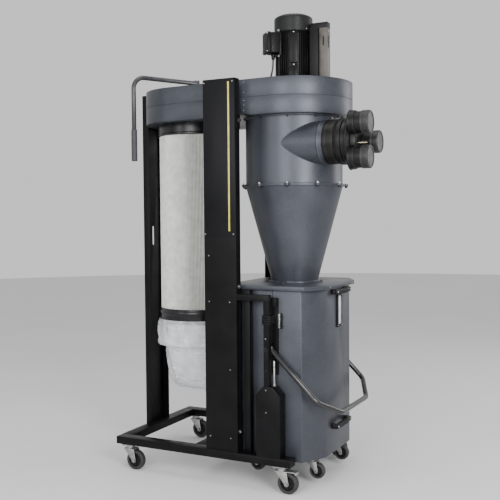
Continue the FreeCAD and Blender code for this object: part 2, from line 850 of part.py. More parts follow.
def caster_fork(x, y, plate_bottom, radius, width, trail, axle, floor, braked):
    """The swivel fork: a race under the plate, a crown, two legs and the axle."""
    inner = width / 2 + wheel_side_gap
    outer = inner + fork_sheet
    axle_z = floor + radius
    crown_bottom = floor + 2 * radius + wheel_top_gap
    crown_top = crown_bottom + fork_sheet
    race = cylinder(Vector(x, y, crown_top), up, plate_bottom - swivel_gap - crown_top, inner)
    fork = race.fuse(box(x - outer, x + trail, y - outer, y + outer, crown_bottom, crown_top))
    boss = 2 * axle
    for side in (-outer, inner):
        leg = prism([Vector(x - outer, y + side, crown_top),
                     Vector(x + trail, y + side, crown_top),
                     Vector(x + trail + boss, y + side, axle_z),
                     Vector(x + trail - boss, y + side, axle_z)], Vector(0, fork_sheet, 0))
        foot = cylinder(Vector(x + trail, y + side, axle_z), along_y, fork_sheet, boss)
        fork = fork.fuse(leg).fuse(foot)
    fork = fork.fuse(cylinder(Vector(x + trail, y - outer - fork_sheet, axle_z), along_y,
                              2 * (outer + fork_sheet), axle))
    if braked:
        pedal_x = x + trail
        fork = fork.fuse(box(pedal_x, pedal_x + pedal_length, y - inner, y + inner,
                             crown_top - pedal_sheet, crown_top))
    return fork.removeSplitter()


def caster_wheel(x, y, radius, width, trail, axle, floor):
    """A tyred wheel whose hub reaches nearly to the fork's legs."""
    hub_half = width / 2 + wheel_side_gap - swivel_gap
    centre = Vector(x + trail, y - width / 2, floor + radius)
    tyre = cylinder(centre, along_y, width, radius)
    tyre = tyre.makeFillet(width / 6, [e for e in tyre.Edges if len(e.Vertexes) == 1])
    hub = cylinder(Vector(x + trail, y - hub_half, floor + radius), along_y, 2 * hub_half, 2 * axle)
    bore = cylinder(Vector(x + trail, y - hub_half, floor + radius), along_y, 2 * hub_half,
                    axle + running_fit)
    return tyre.fuse(hub).cut(bore)


def save_casters(prefix, places, plate_bottom, sizes, floor):
    for number, (x, y, braked) in enumerate(places, start=1):
        radius, width, trail, axle = sizes
        fork = caster_fork(x, y, plate_bottom, radius, width, trail, axle, floor, braked)
        save(f"{prefix}_fork_{number}", [fork])
        save(f"{prefix}_wheel_{number}", [caster_wheel(x, y, radius, width, trail, axle, floor)])


def save_base():
    save("base_side_rails", side_rails())
    save("base_cross_rails", cross_rails())
    save("side_posts", pair(side_post()))
    save("end_post", [end_post()])
    save("front_post_panel", [front_panel()])
    save("duct_brackets", pair(duct_bracket()))
    near = caster_inset_y
    far = base_depth - caster_inset_y
    right = base_length - caster_inset_right
    places = [(caster_inset_x, near, False), (right, near, True), (caster_inset_x, far, False),
              (right, far, True)]
    plate_bottom = caster_height - caster_plate
    save("base_caster_plates", caster_plates([place[:2] for place in places], plate_bottom))
    save_casters("base_caster", places, plate_bottom,
                 (wheel_radius, wheel_width, wheel_trail, wheel_axle), 0)


def save_housing():
    top, bottom = housing_plates()
    seam_z = housing_bottom + housing_height / 2
    save("housing_lower_band", [housing_band(housing_bottom + sheet, seam_z - housing_seam / 2)])
    save("housing_upper_band", [housing_band(seam_z + housing_seam / 2, frame_top - sheet)])
    save("housing_top", [top])
    save("housing_bottom", [bottom])
    save("motor_body", [motor_body()])
    save("motor_fan_cover", [motor_fan_cover()])
    save("motor_junction_box", [junction_box()])
    cover, back = starter()
    save("starter_cover", [cover])
    save("starter_back_box", [back])
    save("motor_cable", [cable()])


def save_cyclone():
    save("cyclone_barrel", [cyclone_barrel()])
    save("cyclone_cone", [cyclone_cone()])
    save("inlet_pipe", [inlet_pipe()])
    save("inlet_coupling", [inlet_coupling()])
    save("manifold_drum", [manifold_drum()])
    save("inlet_ports", inlet_ports())
    for number, (y, z) in enumerate(port_centres(), start=1):
        save(f"port_cap_{number}", [port_cap(y, z)])


def save_filter():
    save("filter_top_collar", [filter_collar(media_top, top_collar_height)])
    save("filter_media", [filter_media()])
    save("filter_bottom_collar", [filter_collar(bag_top, bottom_collar_height)])
    save("dust_bag", [dust_bag()])
    save("crank_hub", [crank_hub()])
    save("crank_arm", [crank_arm()])
    save("crank_grip", [crank_grip()])


def save_bin():
    save("bin_lid", [bin_lid()])
    save("lid_posts", pair(lid_post()))
    save("pedestals", pair(pedestal()))
    save("lift_frames", pair(lift_frame()))
    save("lift_bail", [lift_bail()])
    save("bin_shell", [bin_shell()])
    save("bin_gasket", [bin_gasket()])
    save("bin_window", [bin_window()])
    save("bin_handles", [bin_handle(handle_low_z), bin_handle(handle_high_z)])
    save("lift_straps", pair(lift_strap()))
    places = []
    for y in (mid_y - bin_caster_y, mid_y + bin_caster_y):
        for x in (cyclone_x - bin_caster_x, cyclone_x + bin_caster_x):
            places.append((x, y, False))
    plate_bottom = bin_bottom - caster_plate
    save("bin_caster_plates", caster_plates([place[:2] for place in places], plate_bottom))
    save_casters("bin_caster", places, plate_bottom,
                 (bin_wheel_radius, bin_wheel_width, bin_wheel_trail, bin_wheel_axle),
                 lift_travel + lift_clearance)


os.makedirs("parts", exist_ok=True)
save_base()
save_housing()
save_cyclone()
save_filter()
save_bin()
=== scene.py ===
"""Looks of a mobile two-stage cyclone dust collector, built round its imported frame.

Metres, +Z up.  Places are given in the machine's own millimetres by at(): X from the filter end of
the base to the inlet end, Y from its front edge to the rear, Z from the floor.
"""
import json
import math

import bmesh
import bpy
from mathutils import Matrix, Vector, noise


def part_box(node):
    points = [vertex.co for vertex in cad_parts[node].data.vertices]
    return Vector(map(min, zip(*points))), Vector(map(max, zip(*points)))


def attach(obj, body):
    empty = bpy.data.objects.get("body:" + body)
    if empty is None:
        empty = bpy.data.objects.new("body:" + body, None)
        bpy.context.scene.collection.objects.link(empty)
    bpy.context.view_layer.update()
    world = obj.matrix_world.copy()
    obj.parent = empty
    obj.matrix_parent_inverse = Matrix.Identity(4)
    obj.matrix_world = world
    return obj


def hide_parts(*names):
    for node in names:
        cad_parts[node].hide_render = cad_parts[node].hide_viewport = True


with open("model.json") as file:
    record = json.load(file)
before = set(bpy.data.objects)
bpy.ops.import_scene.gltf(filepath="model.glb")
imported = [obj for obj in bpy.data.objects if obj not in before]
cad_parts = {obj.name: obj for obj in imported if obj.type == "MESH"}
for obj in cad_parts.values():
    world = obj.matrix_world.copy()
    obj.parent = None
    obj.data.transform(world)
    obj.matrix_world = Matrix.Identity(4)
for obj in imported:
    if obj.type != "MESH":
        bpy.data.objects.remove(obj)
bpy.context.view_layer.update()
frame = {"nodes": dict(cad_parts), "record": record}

MM = 0.001
BASE_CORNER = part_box("base_side_rails")[0]
UP = Vector((0, 0, 1))
ALONG = Vector((1, 0, 0))
FRONT = Vector((0, -1, 0))
REAR = Vector((0, 1, 0))
SHEET = 2.5


def at(x, y, z):
    """A place in the machine's millimetres as a point in the frame."""
    return Vector((BASE_CORNER.x + x * MM, BASE_CORNER.y + y * MM, z * MM))


def span(node):
    """A node's lowest and highest corners in the machine's millimetres."""
    low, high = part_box(node)
    shift = Vector((BASE_CORNER.x, BASE_CORNER.y, 0))
    return (low - shift) / MM, (high - shift) / MM


def middle(node):
    low, high = span(node)
    return (low + high) / 2


def half_width(node):
    low, high = span(node)
    return (high.x - low.x) / 2


# Places and sizes read from the frame, in the machine's millimetres
RAILS_LOW, RAILS_HIGH = span("base_side_rails")
MID_Y = (RAILS_LOW.y + RAILS_HIGH.y) / 2
RAIL_TOP = RAILS_HIGH.z
BAND_LOW, BAND_HIGH = span("housing_lower_band")
FRAME_TOP = span("housing_upper_band")[1].z
FILTER = middle("filter_media")
FILTER_RADIUS = half_width("filter_media")
CYCLONE = middle("cyclone_barrel")
PLENUM_RADIUS = FILTER.x - BAND_LOW.x
FAN_RADIUS = BAND_HIGH.x - CYCLONE.x
LID_TOP = span("cyclone_cone")[0].z


# ---------------------------------------------------------------- shapes

def placed(shape, origin, direction=UP, turn=0.0):
    """Turns a shape about its own Z, points its Z along the direction and moves it to a place."""
    aim = UP.rotation_difference(Vector(direction)).to_matrix().to_4x4()
    matrix = Matrix.Translation(origin) @ aim @ Matrix.Rotation(turn, 4, "Z")
    bmesh.ops.transform(shape, matrix=matrix, verts=shape.verts)
    return shape


def joined(shapes):
    """Several shapes as one."""
    whole = bmesh.new()
    for shape in shapes:
        part = bpy.data.meshes.new("part")
        shape.to_mesh(part)
        shape.free()
        whole.from_mesh(part)
        bpy.data.meshes.remove(part)
    return whole


def cleaned(shape):
    """A shape with its doubles merged and its faces turned outwards."""
    bmesh.ops.remove_doubles(shape, verts=shape.verts, dist=1e-6)
    bmesh.ops.recalc_face_normals(shape, faces=shape.faces)
    return shape


def eased(shape, width, segments=2, angle=30, chosen=None):
    """Rounds the sharp edges, or those of them that are chosen, by a width in millimetres."""
    sharp = [edge for edge in shape.edges if len(edge.link_faces) == 2
             and edge.calc_face_angle(0) > math.radians(angle) and (chosen is None or chosen(edge))]
    bmesh.ops.bevel(shape, geom=sharp, offset=width * MM, offset_type="OFFSET", affect="EDGES",
                    segments=segments, profile=0.5, clamp_overlap=True, material=-1)
    return shape


def rounded(outline, radius, closed=True, steps=3):
    """An outline with rounded corners, each at most 0.45 of its shorter side."""
    result = []
    last = len(outline) - 1
    for index, point in enumerate(outline):
        here = Vector(point)
        if not closed and index in (0, last):
            result.append(here)
            continue
        back = Vector(outline[index - 1]) - here
        ahead = Vector(outline[(index + 1) % len(outline)]) - here
        reach = min(radius, 0.45 * back.length, 0.45 * ahead.length)
        start = here + back.normalized() * reach
        end = here + ahead.normalized() * reach
        for step in range(steps + 1):
            t = step / steps
            result.append(start * (1 - t) ** 2 + here * 2 * t * (1 - t) + end * t * t)
    return result


def turned(profile, steps=72, closed=True, ease=0.0):
    """Spins an outline of (radius, height) points, in millimetres, about Z."""
    if ease:
        profile = rounded(profile, ease, closed)
    shape = bmesh.new()
    points = [shape.verts.new((radius * MM, 0, height * MM)) for radius, height in profile]
    pairs = list(zip(points, points[1:]))
    if closed:
        pairs.append((points[-1], points[0]))
    edges = [shape.edges.new(pair) for pair in pairs]
    bmesh.ops.spin(shape, geom=points + edges, axis=UP, cent=(0, 0, 0), angle=math.tau, steps=steps,
                   use_merge=True)
    return cleaned(shape)


def stood(shape, centre, turn=0.0):
    """A shape stood on the machine about an upright axis, its heights from the floor."""
    return placed(shape, at(centre.x, centre.y, 0), UP, turn)


def around(centre, profile, steps=72, closed=True, ease=0.0):
    """A spun outline about an upright axis of the machine."""
    return stood(turned(profile, steps, closed, ease), centre)


def slab(outline, depth, ease=0.0, segments=2):
    """An outline in XY, in millimetres, drawn out along Z, with its edges rounded."""
    shape = bmesh.new()
    face = shape.faces.new([shape.verts.new((x * MM, y * MM, 0)) for x, y in outline])
    grown = bmesh.ops.extrude_face_region(shape, geom=[face])
    far = [item for item in grown["geom"] if isinstance(item, bmesh.types.BMVert)]
    bmesh.ops.translate(shape, verts=far, vec=(0, 0, depth * MM))
    bmesh.ops.recalc_face_normals(shape, faces=shape.faces)
    return eased(shape, ease, segments) if ease else shape


def block(low, high, ease=1.0, segments=2):
    """A block between two corners, in millimetres about its own origin, with rounded edges."""
    shape = bmesh.new()
    bmesh.ops.create_cube(shape, size=1)
    low, high = Vector(low) * MM, Vector(high) * MM
    bmesh.ops.scale(shape, vec=high - low, verts=shape.verts)
    bmesh.ops.translate(shape, vec=(low + high) / 2, verts=shape.verts)
    return eased(shape, ease, segments) if ease else shape


def machine_block(low, high, ease=1.0):
    """A block between two places on the machine, given in any order."""
    corners = [sorted(pair) for pair in zip(low, high)]
    return placed(block([pair[0] for pair in corners], [pair[1] for pair in corners], ease),
                  at(0, 0, 0))


def mirrored(places):
    """The same places at the machine's rear."""
    return [(x, 2 * MID_Y - y, z) for x, y, z in places]


def block_pair(low, high, ease=1.0):
    """A block at the front and its mirror image at the rear."""
    return joined([machine_block(low, high, ease), machine_block(*mirrored((low, high)), ease)])


def swept(points, radius, sides=10, closed=False):
    """A round bar along points in the frame."""
    curve = bpy.data.curves.new("bar", "CURVE")
    curve.dimensions = "3D"
    curve.bevel_depth = radius * MM
    curve.bevel_resolution = max(0, sides // 2 - 2)
    curve.use_fill_caps = True
    spline = curve.splines.new("POLY")
    spline.points.add(len(points) - 1)
    for spot, point in zip(spline.points, points):
        spot.co = (*point, 1)
    spline.use_cyclic_u = closed
    holder = bpy.data.objects.new("bar", curve)
    mesh = bpy.data.meshes.new_from_object(holder)
    shape = bmesh.new()
    shape.from_mesh(mesh)
    bpy.data.objects.remove(holder)
    bpy.data.curves.remove(curve)
    bpy.data.meshes.remove(mesh)
    return cleaned(shape)


def line(start, end, steps=40):
    start, end = Vector(start), Vector(end)
    return [start.lerp(end, step / steps) for step in range(steps + 1)]


def weld(points, radius=2.0):
    """A rippled bead of weld along points in the machine's millimetres."""
    shape = swept([at(*point) for point in points], radius, 8)
    for vert in shape.verts:
        vert.co += vert.normal * noise.noise(vert.co / (5 * MM)) * 0.8 * MM
    return shape


def heading(angle):
    """The level direction at an angle from the machine's length."""
    return Vector((math.cos(angle), math.sin(angle), 0))


def on_circle(centre, radius, count, z, start=0.0):
    """Evenly spaced places on a level circle in the machine's millimetres."""
    return [(centre.x + radius * math.cos(angle), centre.y + radius * math.sin(angle), z)
            for angle in (start + math.tau * step / count for step in range(count))]


# ---------------------------------------------------------------- fasteners

def hex_bolt(across):
    """A hexagon head on a washer, pointing along +Z; across is its width over flats."""
    head = bmesh.new()
    corner = across * MM / math.sqrt(3)
    bmesh.ops.create_cone(head, cap_ends=True, segments=6, radius1=corner, radius2=corner,
                          depth=0.62 * across * MM)
    bmesh.ops.translate(head, verts=head.verts, vec=(0, 0, (0.31 * across + 1.4) * MM))
    eased(head, 0.06 * across, 1)
    hole, rim, thick = 0.2 * across, 0.92 * across, 1.4
    washer = turned([(hole, 0), (rim, 0), (rim, thick), (hole, thick)], steps=20)
    return joined([washer, head])


def pan_screw(width):
    """A low domed screw head with a socket, pointing along +Z."""
    profile = [(0, 0.14 * width), (0.22 * width, 0.14 * width), (0.24 * width, 0.4 * width),
               (0.36 * width, 0.38 * width), (0.47 * width, 0.2 * width), (width / 2, 0), (0, 0)]
    return turned(profile, steps=18, closed=False)


def fastened(make, size, places, direction):
    """Copies of a fastener at machine places, all pointing one way."""
    return joined([placed(make(size), at(*place), direction) for place in places])


# ---------------------------------------------------------------- pieces

finishes = {}


def piece(name, shape, finish, node=None, body="frame", smooth=32):
    """A finished mesh that rides on a body and may stand for a CAD node."""
    mesh = bpy.data.meshes.new(name)
    shape.to_mesh(mesh)
    shape.free()
    mesh.materials.append(finishes[finish])
    for polygon in mesh.polygons:
        polygon.use_smooth = True
    mesh.set_sharp_from_angle(angle=math.radians(smooth))
    made = bpy.data.objects.new(name, mesh)
    bpy.context.scene.collection.objects.link(made)
    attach(made, body)
    if node:
        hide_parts(node)
    return made


def front_and_rear(name, make, size, places, finish, body="frame"):
    """A piece of fasteners on the front, and its mirror image on the rear."""
    piece(name, fastened(make, size, places, FRONT), finish, body=body)
    piece(name + "_rear", fastened(make, size, mirrored(places), REAR), finish, body=body)


def copied(node, flat=True):
    """A copy of a CAD node's mesh, its triangles merged and its flat faces made whole."""
    shape = bmesh.new()
    shape.from_mesh(frame["nodes"][node].data)
    bmesh.ops.remove_doubles(shape, verts=shape.verts, dist=1e-6)
    if flat:
        bmesh.ops.dissolve_limit(shape, angle_limit=math.radians(0.5), verts=shape.verts,
                                 edges=shape.edges)
    return shape


def long_fold(edge):
    """True for an upright fold over 300 mm long."""
    run = edge.verts[1].co - edge.verts[0].co
    return run.length > 0.3 and abs(run.normalized().z) > 0.99


def softened(node, finish, ease, fold=0.0, body="frame", name=None):
    """Stands for a CAD node with its folds and edges rounded as the real part's are."""
    shape = copied(node)
    if fold:
        eased(shape, fold, 3, chosen=long_fold)
    eased(shape, ease)
    piece(name or node + "_finish", shape, finish, node, body)


# ---------------------------------------------------------------- finishes


def linear(colour):
    """An sRGB hex colour as linear RGBA."""
    parts = [int(colour[place:place + 2], 16) / 255 for place in (1, 3, 5)]
    return [part / 12.92 if part <= 0.04045 else ((part + 0.055) / 1.055) ** 2.4
            for part in parts] + [1.0]


def add(tree, kind, settings=None, sockets=None):
    """Adds a node with its settings; a socket takes a value or another node's output."""
    made = tree.nodes.new("ShaderNode" + kind)
    for name, value in (settings or {}).items():
        setattr(made, name, value)
    for key, value in (sockets or {}).items():
        if isinstance(value, bpy.types.NodeSocket):
            tree.links.new(value, made.inputs[key])
        else:
            made.inputs[key].default_value = value
    return made


def started(name, colour, roughness, constants=None):
    """A new material: its tree, its shader and the position on the object."""
    material = bpy.data.materials.new(name)
    material.use_nodes = True
    finishes[name] = material
    tree = material.node_tree
    shader = tree.nodes["Principled BSDF"]
    shader.inputs["Base Color"].default_value = linear(colour)
    shader.inputs["Roughness"].default_value = roughness
    for socket, value in (constants or {}).items():
        shader.inputs[socket].default_value = value
    return tree, shader, add(tree, "TexCoord").outputs["Object"]


def per_metre(size):
    """The texture scale at which one feature is that many millimetres across."""
    return 1000.0 / size


def clouded(tree, shader, place, colours, roughness, size, detail=3.0):
    """Drifts the colour and the roughness together over patches of a size in millimetres."""
    cloud = add(tree, "TexNoise", None,
                {"Vector": place, "Scale": per_metre(size), "Detail": detail})
    level = add(tree, "MapRange", None, {0: cloud.outputs["Fac"], 1: 0.32, 2: 0.68})
    mix = add(tree, "Mix", {"data_type": "RGBA"},
              {0: level.outputs[0], 6: linear(colours[0]), 7: linear(colours[1])})
    tree.links.new(mix.outputs[2], shader.inputs["Base Color"])
    spread = add(tree, "MapRange", None,
                 {0: level.outputs[0], 3: roughness[0], 4: roughness[1]})
    tree.links.new(spread.outputs[0], shader.inputs["Roughness"])
    return mix


def textured(tree, shader, place, size, depth, strength=0.5, detail=2.0):
    """A fine relief with grains of a size and a depth in millimetres."""
    relief = add(tree, "TexNoise", None,
                 {"Vector": place, "Scale": per_metre(size), "Detail": detail})
    bump = add(tree, "Bump", None,
               {"Height": relief.outputs["Fac"], "Distance": depth * MM, "Strength": strength})
    tree.links.new(bump.outputs["Normal"], shader.inputs["Normal"])


# Each finish: its name, the two colours and the two roughnesses it drifts between, the drift's size
# in millimetres with its detail, the relief's grain and depth in millimetres with its strength and
# detail, and the shader's constants.  The line above says what it gives the eye.
COATINGS = (
    # Satin black powder coat: a baked orange peel that breaks the highlights up along each sheet
    ("black_powder_coat", ("#060607", "#0b0b0d"), (0.36, 0.5), (90,), (2.2, 0.12),
     {"Specular IOR Level": 0.14}),
    # Gloss black coat on the lever's tube, burnished by hands into a long bright highlight
    ("lever_coat", ("#0f0f11", "#18181a"), (0.2, 0.34), (45,), (2.2, 0.08, 0.35),
     {"Coat Weight": 0.15}),
    # Powder coat on the raised panel, a little bluer and smoother than the posts'
    ("panel_coat", ("#09090c", "#0f0f13"), (0.36, 0.46), (160,), (2.2, 0.08),
     {"Specular IOR Level": 0.16}),
    # Screen-printed dull yellow enamel, thin and faintly uneven
    ("stripe_paint", ("#aaa245", "#c3ba58"), (0.4, 0.5), (40,), None, None),
    # Gloss black enamel over cast aluminium: the casting's skin shows as a soft ripple
    ("motor_enamel", ("#060607", "#0b0b0c"), (0.34, 0.48), (35,), (3.5, 0.08, 0.3),
     {"Specular IOR Level": 0.16}),
    # Dark grey enamel on pressed steel, smooth, with a soft even gloss
    ("fan_cover_paint", ("#0d0e0e", "#131414"), (0.38, 0.5), (60,), (2.5, 0.08, 0.35),
     {"Specular IOR Level": 0.26}),
    # Moulded black ABS with a spark-eroded grain that greys its highlights
    ("black_plastic", ("#09090a", "#0f0f11"), (0.4, 0.54), (50,), (1.4, 0.1, 0.6),
     {"Specular IOR Level": 0.22}),
    # Moulded dark grey polypropylene: waxy, with a fine matt grain on the caps' faces
    ("cap_plastic", ("#19191a", "#232324"), (0.45, 0.58), (45,), (1.4, 0.12, 0.6),
     {"Specular IOR Level": 0.4}),
    # Black moulded rubber, dull where it is stretched over the pipe and bloomed in patches
    ("coupling_rubber", ("#0a0a0a", "#12110f"), (0.36, 0.5), (40,), (2.0, 0.12, 0.5),
     {"Specular IOR Level": 0.22}),
    # Spunbond polyester, pleated: matt and fibrous, its fibres clouded pale grey
    ("filter_pleats", ("#bfbfbb", "#d3d3ce"), (0.8, 0.92), (30, 6.0), (1.2, 0.3, 0.7, 6.0),
     {"Sheen Weight": 0.2}),
    # Galvanised expanded-metal screen over the pleats, pale grey with a soft sheen
    ("screen_wire", ("#e6e6e3", "#f6f6f3"), (0.4, 0.55), (20,), None, None),
    # Gloss black stoving enamel on spun steel; it mirrors the lights as narrow bars
    ("filter_collar_paint", ("#0b0b0d", "#121215"), (0.2, 0.32), (70,), (6.0, 0.12, 0.3),
     {"Specular IOR Level": 0.35}),
    # Warm grey hammered enamel on the switch cover: shallow pits a few millimetres apart
    ("starter_paint", ("#413d39", "#4e4a45"), (0.4, 0.52), (30,), (4.0, 0.2, 0.4), None),
    # Clear cast acrylic with a hard gloss, its pale colour a painted reflection: the bright strip
    # of glare on the pane
    ("window_acrylic", ("#a9acaf", "#c9ccce"), (0.06, 0.14), (60,), None, {"Coat Weight": 0.5}),
    # Closed-cell foam strip: dull black with open cells
    ("gasket_foam", ("#0b0b0b", "#161616"), (0.85, 0.95), (10,), (1.2, 0.4, 0.8), None),
    # Black rubber cable sheath, softly shiny along its length
    ("cable_jacket", ("#0e0e0f", "#1a1a1b"), (0.36, 0.5), (15,), (1.0, 0.05, 0.4), None),
    # Hard black rubber tread with the grey dust that a shop floor leaves
    ("caster_tyre", ("#161617", "#2c2b2a"), (0.55, 0.75), (18, 5.0), (1.5, 0.2, 0.5), None),
    # Dark grey hammer paint on bent bar, worn smoother where hands slide
    ("crank_paint", ("#27272a", "#353539"), (0.28, 0.42), (40,), (2.0, 0.12, 0.4), None),
    # Ribbed foam-rubber sleeve: soft, slightly blue black
    ("grip_rubber", ("#26262b", "#35353b"), (0.55, 0.7), (15,), (1.2, 0.25, 0.7), None),
    # Painted shade: flat, unlit black that stands for the shade inside slots, holes, gaps and
    # closed joints
    ("dark_recess", ("#050505", "#0a0a0a"), (0.85, 0.95), (30,), None, None),
    # Black-oxide steel fasteners: dark, a little brown, with an oily gloss
    ("blackened_bolt", ("#171615", "#2b2a29"), (0.28, 0.45), (6,), None, {"Metallic": 0.7}),
    # Dull yellow passivated plating on the small pin
    ("brass_plate", ("#a99b7c", "#c6b99c"), (0.3, 0.42), (6,), None, {"Metallic": 0.9}),
    # Seamless white studio board, matt
    ("stage_white", ("#d2d2d2", "#d6d6d6"), (0.78, 0.84), (900,), None, None),
)


def coatings():
    for name, colours, roughness, drift, relief, constants in COATINGS:
        parts = started(name, colours[0], roughness[0], constants)
        clouded(*parts, colours, roughness, *drift)
        if relief:
            textured(*parts, *relief)


def grey_paint():
    """Blue-grey metallic powder coat: mica flakes under a thin clear skin, cloudy over a hand's
    width."""
    tree, shader, place = started("grey_paint", "#34373e", 0.42,
                                  {"Metallic": 0.5, "Coat Weight": 0.06, "Coat Roughness": 0.3})
    mix = clouded(tree, shader, place, ("#32353c", "#3c3f46"), (0.38, 0.48), 130)
    flakes = add(tree, "TexVoronoi", None, {"Vector": place, "Scale": per_metre(1.3)})
    tone = add(tree, "SeparateColor", None, {0: flakes.outputs["Color"]})
    level = add(tree, "MapRange", None, {0: tone.outputs[0], 1: 0.55, 2: 1.0, 3: 0.0, 4: 0.22})
    glint = add(tree, "Mix", {"data_type": "RGBA"},
                {0: level.outputs[0], 6: mix.outputs[2], 7: linear("#767b85")})
    tree.links.new(glint.outputs[2], shader.inputs["Base Color"])
    textured(tree, shader, place, 3.0, 0.1, 0.35)


def zinc_plate():
    """Bright zinc plating: pale metal with soft spangles and a faint straw and blue passivation."""
    tree, shader, place = started("zinc_plate", "#9b9da0", 0.38, {"Metallic": 1.0})
    spangle = add(tree, "TexVoronoi", None, {"Vector": place, "Scale": per_metre(7)})
    tone = add(tree, "SeparateColor", None, {0: spangle.outputs["Color"]})
    mix = add(tree, "Mix", {"data_type": "RGBA"},
              {0: tone.outputs[0], 6: linear("#8b8f94"), 7: linear("#a9a8a1")})
    tree.links.new(mix.outputs[2], shader.inputs["Base Color"])
    spread = add(tree, "MapRange", None, {0: tone.outputs[1], 3: 0.32, 4: 0.5})
    tree.links.new(spread.outputs[0], shader.inputs["Roughness"])
    textured(tree, shader, place, 4.0, 0.06, 0.3)


def clear_bag():
    """Clear polyethylene film, about 0.1 mm: milky where it overlaps, with sharp creased glints."""
    tree, shader, place = started("clear_bag", "#f1f3fa", 0.12,
                                  {"Alpha": 0.62, "IOR": 1.5, "Transmission Weight": 0.3})
    cloud = add(tree, "TexNoise", None, {"Vector": place, "Scale": per_metre(55), "Detail": 4.0})
    level = add(tree, "MapRange", None, {0: cloud.outputs["Fac"], 1: 0.3, 2: 0.7, 3: 0.4, 4: 0.72})
    tree.links.new(level.outputs[0], shader.inputs["Alpha"])
    crease = add(tree, "TexNoise", {"noise_type": "RIDGED_MULTIFRACTAL"},
                 {"Vector": place, "Scale": per_metre(60), "Detail": 4.0})
    bump = add(tree, "Bump", None,
               {"Height": crease.outputs["Fac"], "Distance": 5 * MM, "Strength": 0.8})
    tree.links.new(bump.outputs["Normal"], shader.inputs["Normal"])


for make_finish in (coatings, grey_paint, zinc_plate, clear_bag):
    make_finish()


# ---------------------------------------------------------------- camera, light and floor

def camera():
    """The viewing place: chest height, in front of the machine and towards its inlet end."""
    lens = bpy.data.cameras.new("camera")
    lens.lens = 57.41
    lens.sensor_width = 36.0
    view = bpy.data.objects.new("camera", lens)
    yaw, pitch, roll = math.radians(26.87), math.radians(-2.39), -0.008
    ahead = Vector((-math.sin(yaw) * math.cos(pitch), math.cos(yaw) * math.cos(pitch),
                    math.sin(pitch)))
    level = heading(yaw)
    over = level.cross(ahead)
    side = level * math.cos(roll) + over * math.sin(roll)
    top = over * math.cos(roll) - level * math.sin(roll)
    view.matrix_world = Matrix.Translation((1.7945, -3.656, 1.284)) @ Matrix(
        (side, top, -ahead)).transposed().to_4x4()
    bpy.context.scene.collection.objects.link(view)
    bpy.context.scene.camera = view


# Each soft light: its name, where it stands and what it faces in metres, its size and its watts
LIGHTS = (("key", (3.0, -2.6, 1.9), (0.2, 0, 1.5), (1.3, 2.2), 165),
          ("front", (0.4, -4.0, 2.0), (0.2, 0, 1.5), (1.5, 2.2), 95),
          ("left_front", (-1.9, -3.8, 2.2), (0, 0, 1.3), (1.0, 2.0), 25),
          ("right_rear", (2.6, 3.4, 2.2), (0.3, 0, 1.0), (1.4, 2.0), 40),
          ("overhead", (0.2, -0.4, 4.6), (0, 0, 1.0), (2.4, 1.6), 45))


def studio():
    world = bpy.data.worlds.new("studio")
    world.use_nodes = True
    back = world.node_tree.nodes["Background"]
    back.inputs["Color"].default_value = linear("#ffffff")
    back.inputs["Strength"].default_value = 0.85
    bpy.context.scene.world = world
    for name, place, aim, size, power in LIGHTS:
        light = bpy.data.lights.new(name, "AREA")
        light.shape = "RECTANGLE"
        light.size, light.size_y = size
        light.energy = power
        holder = bpy.data.objects.new(name, light)
        turn = (Vector(aim) - Vector(place)).to_track_quat("-Z", "Y").to_matrix().to_4x4()
        holder.matrix_world = Matrix.Translation(place) @ turn
        bpy.context.scene.collection.objects.link(holder)
    shape = bmesh.new()
    bmesh.ops.create_circle(shape, cap_ends=True, segments=96, radius=14.0)
    mesh = bpy.data.meshes.new("floor")
    shape.to_mesh(mesh)
    shape.free()
    mesh.materials.append(finishes["stage_white"])
    floor = bpy.data.objects.new("floor", mesh)
    bpy.context.scene.collection.objects.link(floor)


camera()
studio()


# ---------------------------------------------------------------- the motor's cable

CABLE_RADIUS = 4.5
GLAND_X, GLAND_Y, GLAND_FOOT = 771.4, 278.3, 2055.0
STARTER_GLAND = (967.0, 420.0, 1962.0)


def motor_cable():
    """From the gland under the junction box, round the rear of the motor to the starter's gland."""
    x, y, z, top = GLAND_X, GLAND_Y, GLAND_FOOT, FRAME_TOP
    end_x, end_y, end_z = STARTER_GLAND
    route = [(x, y, z), (x, y, z - 42), (x - 14, y + 2, z - 84), (x - 34, y + 34, top + 7),
             (x - 44, y + 94, top + 6), (x - 22, y + 156, top + 6), (x + 32, y + 212, top + 6),
             (x + 92, y + 238, top + 6), (x + 150, y + 236, top + 7), (end_x, end_y + 55, end_z),
             (end_x, end_y, end_z)]
    curve = bpy.data.curves.new("motor_lead", "CURVE")
    curve.dimensions = "3D"
    curve.bevel_depth = CABLE_RADIUS * MM
    curve.bevel_resolution = 4
    curve.resolution_u = 16
    curve.use_fill_caps = True
    spline = curve.splines.new("NURBS")
    spline.points.add(len(route) - 1)
    for spot, point in zip(spline.points, route):
        spot.co = (*at(*point), 1)
    spline.order_u = 3
    spline.use_endpoint_u = True
    curve.materials.append(finishes["cable_jacket"])
    lead = bpy.data.objects.new("motor_lead", curve)
    bpy.context.scene.collection.objects.link(lead)
    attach(lead, "frame")
    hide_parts("motor_cable")


motor_cable()


# ---------------------------------------------------------------- base, posts and screws

COAT = "black_powder_coat"
PANEL_FACE = span("front_post_panel")[0].y
PANEL_LOW = span("front_post_panel")[0].z
POST_LEFT, POST_RIGHT = span("front_post_panel")[0].x, span("side_posts")[1].x
POST_FACE = span("side_posts")[0].y
POST_MIDDLE = POST_FACE + 23
END_LOW, END_HIGH = span("end_post")


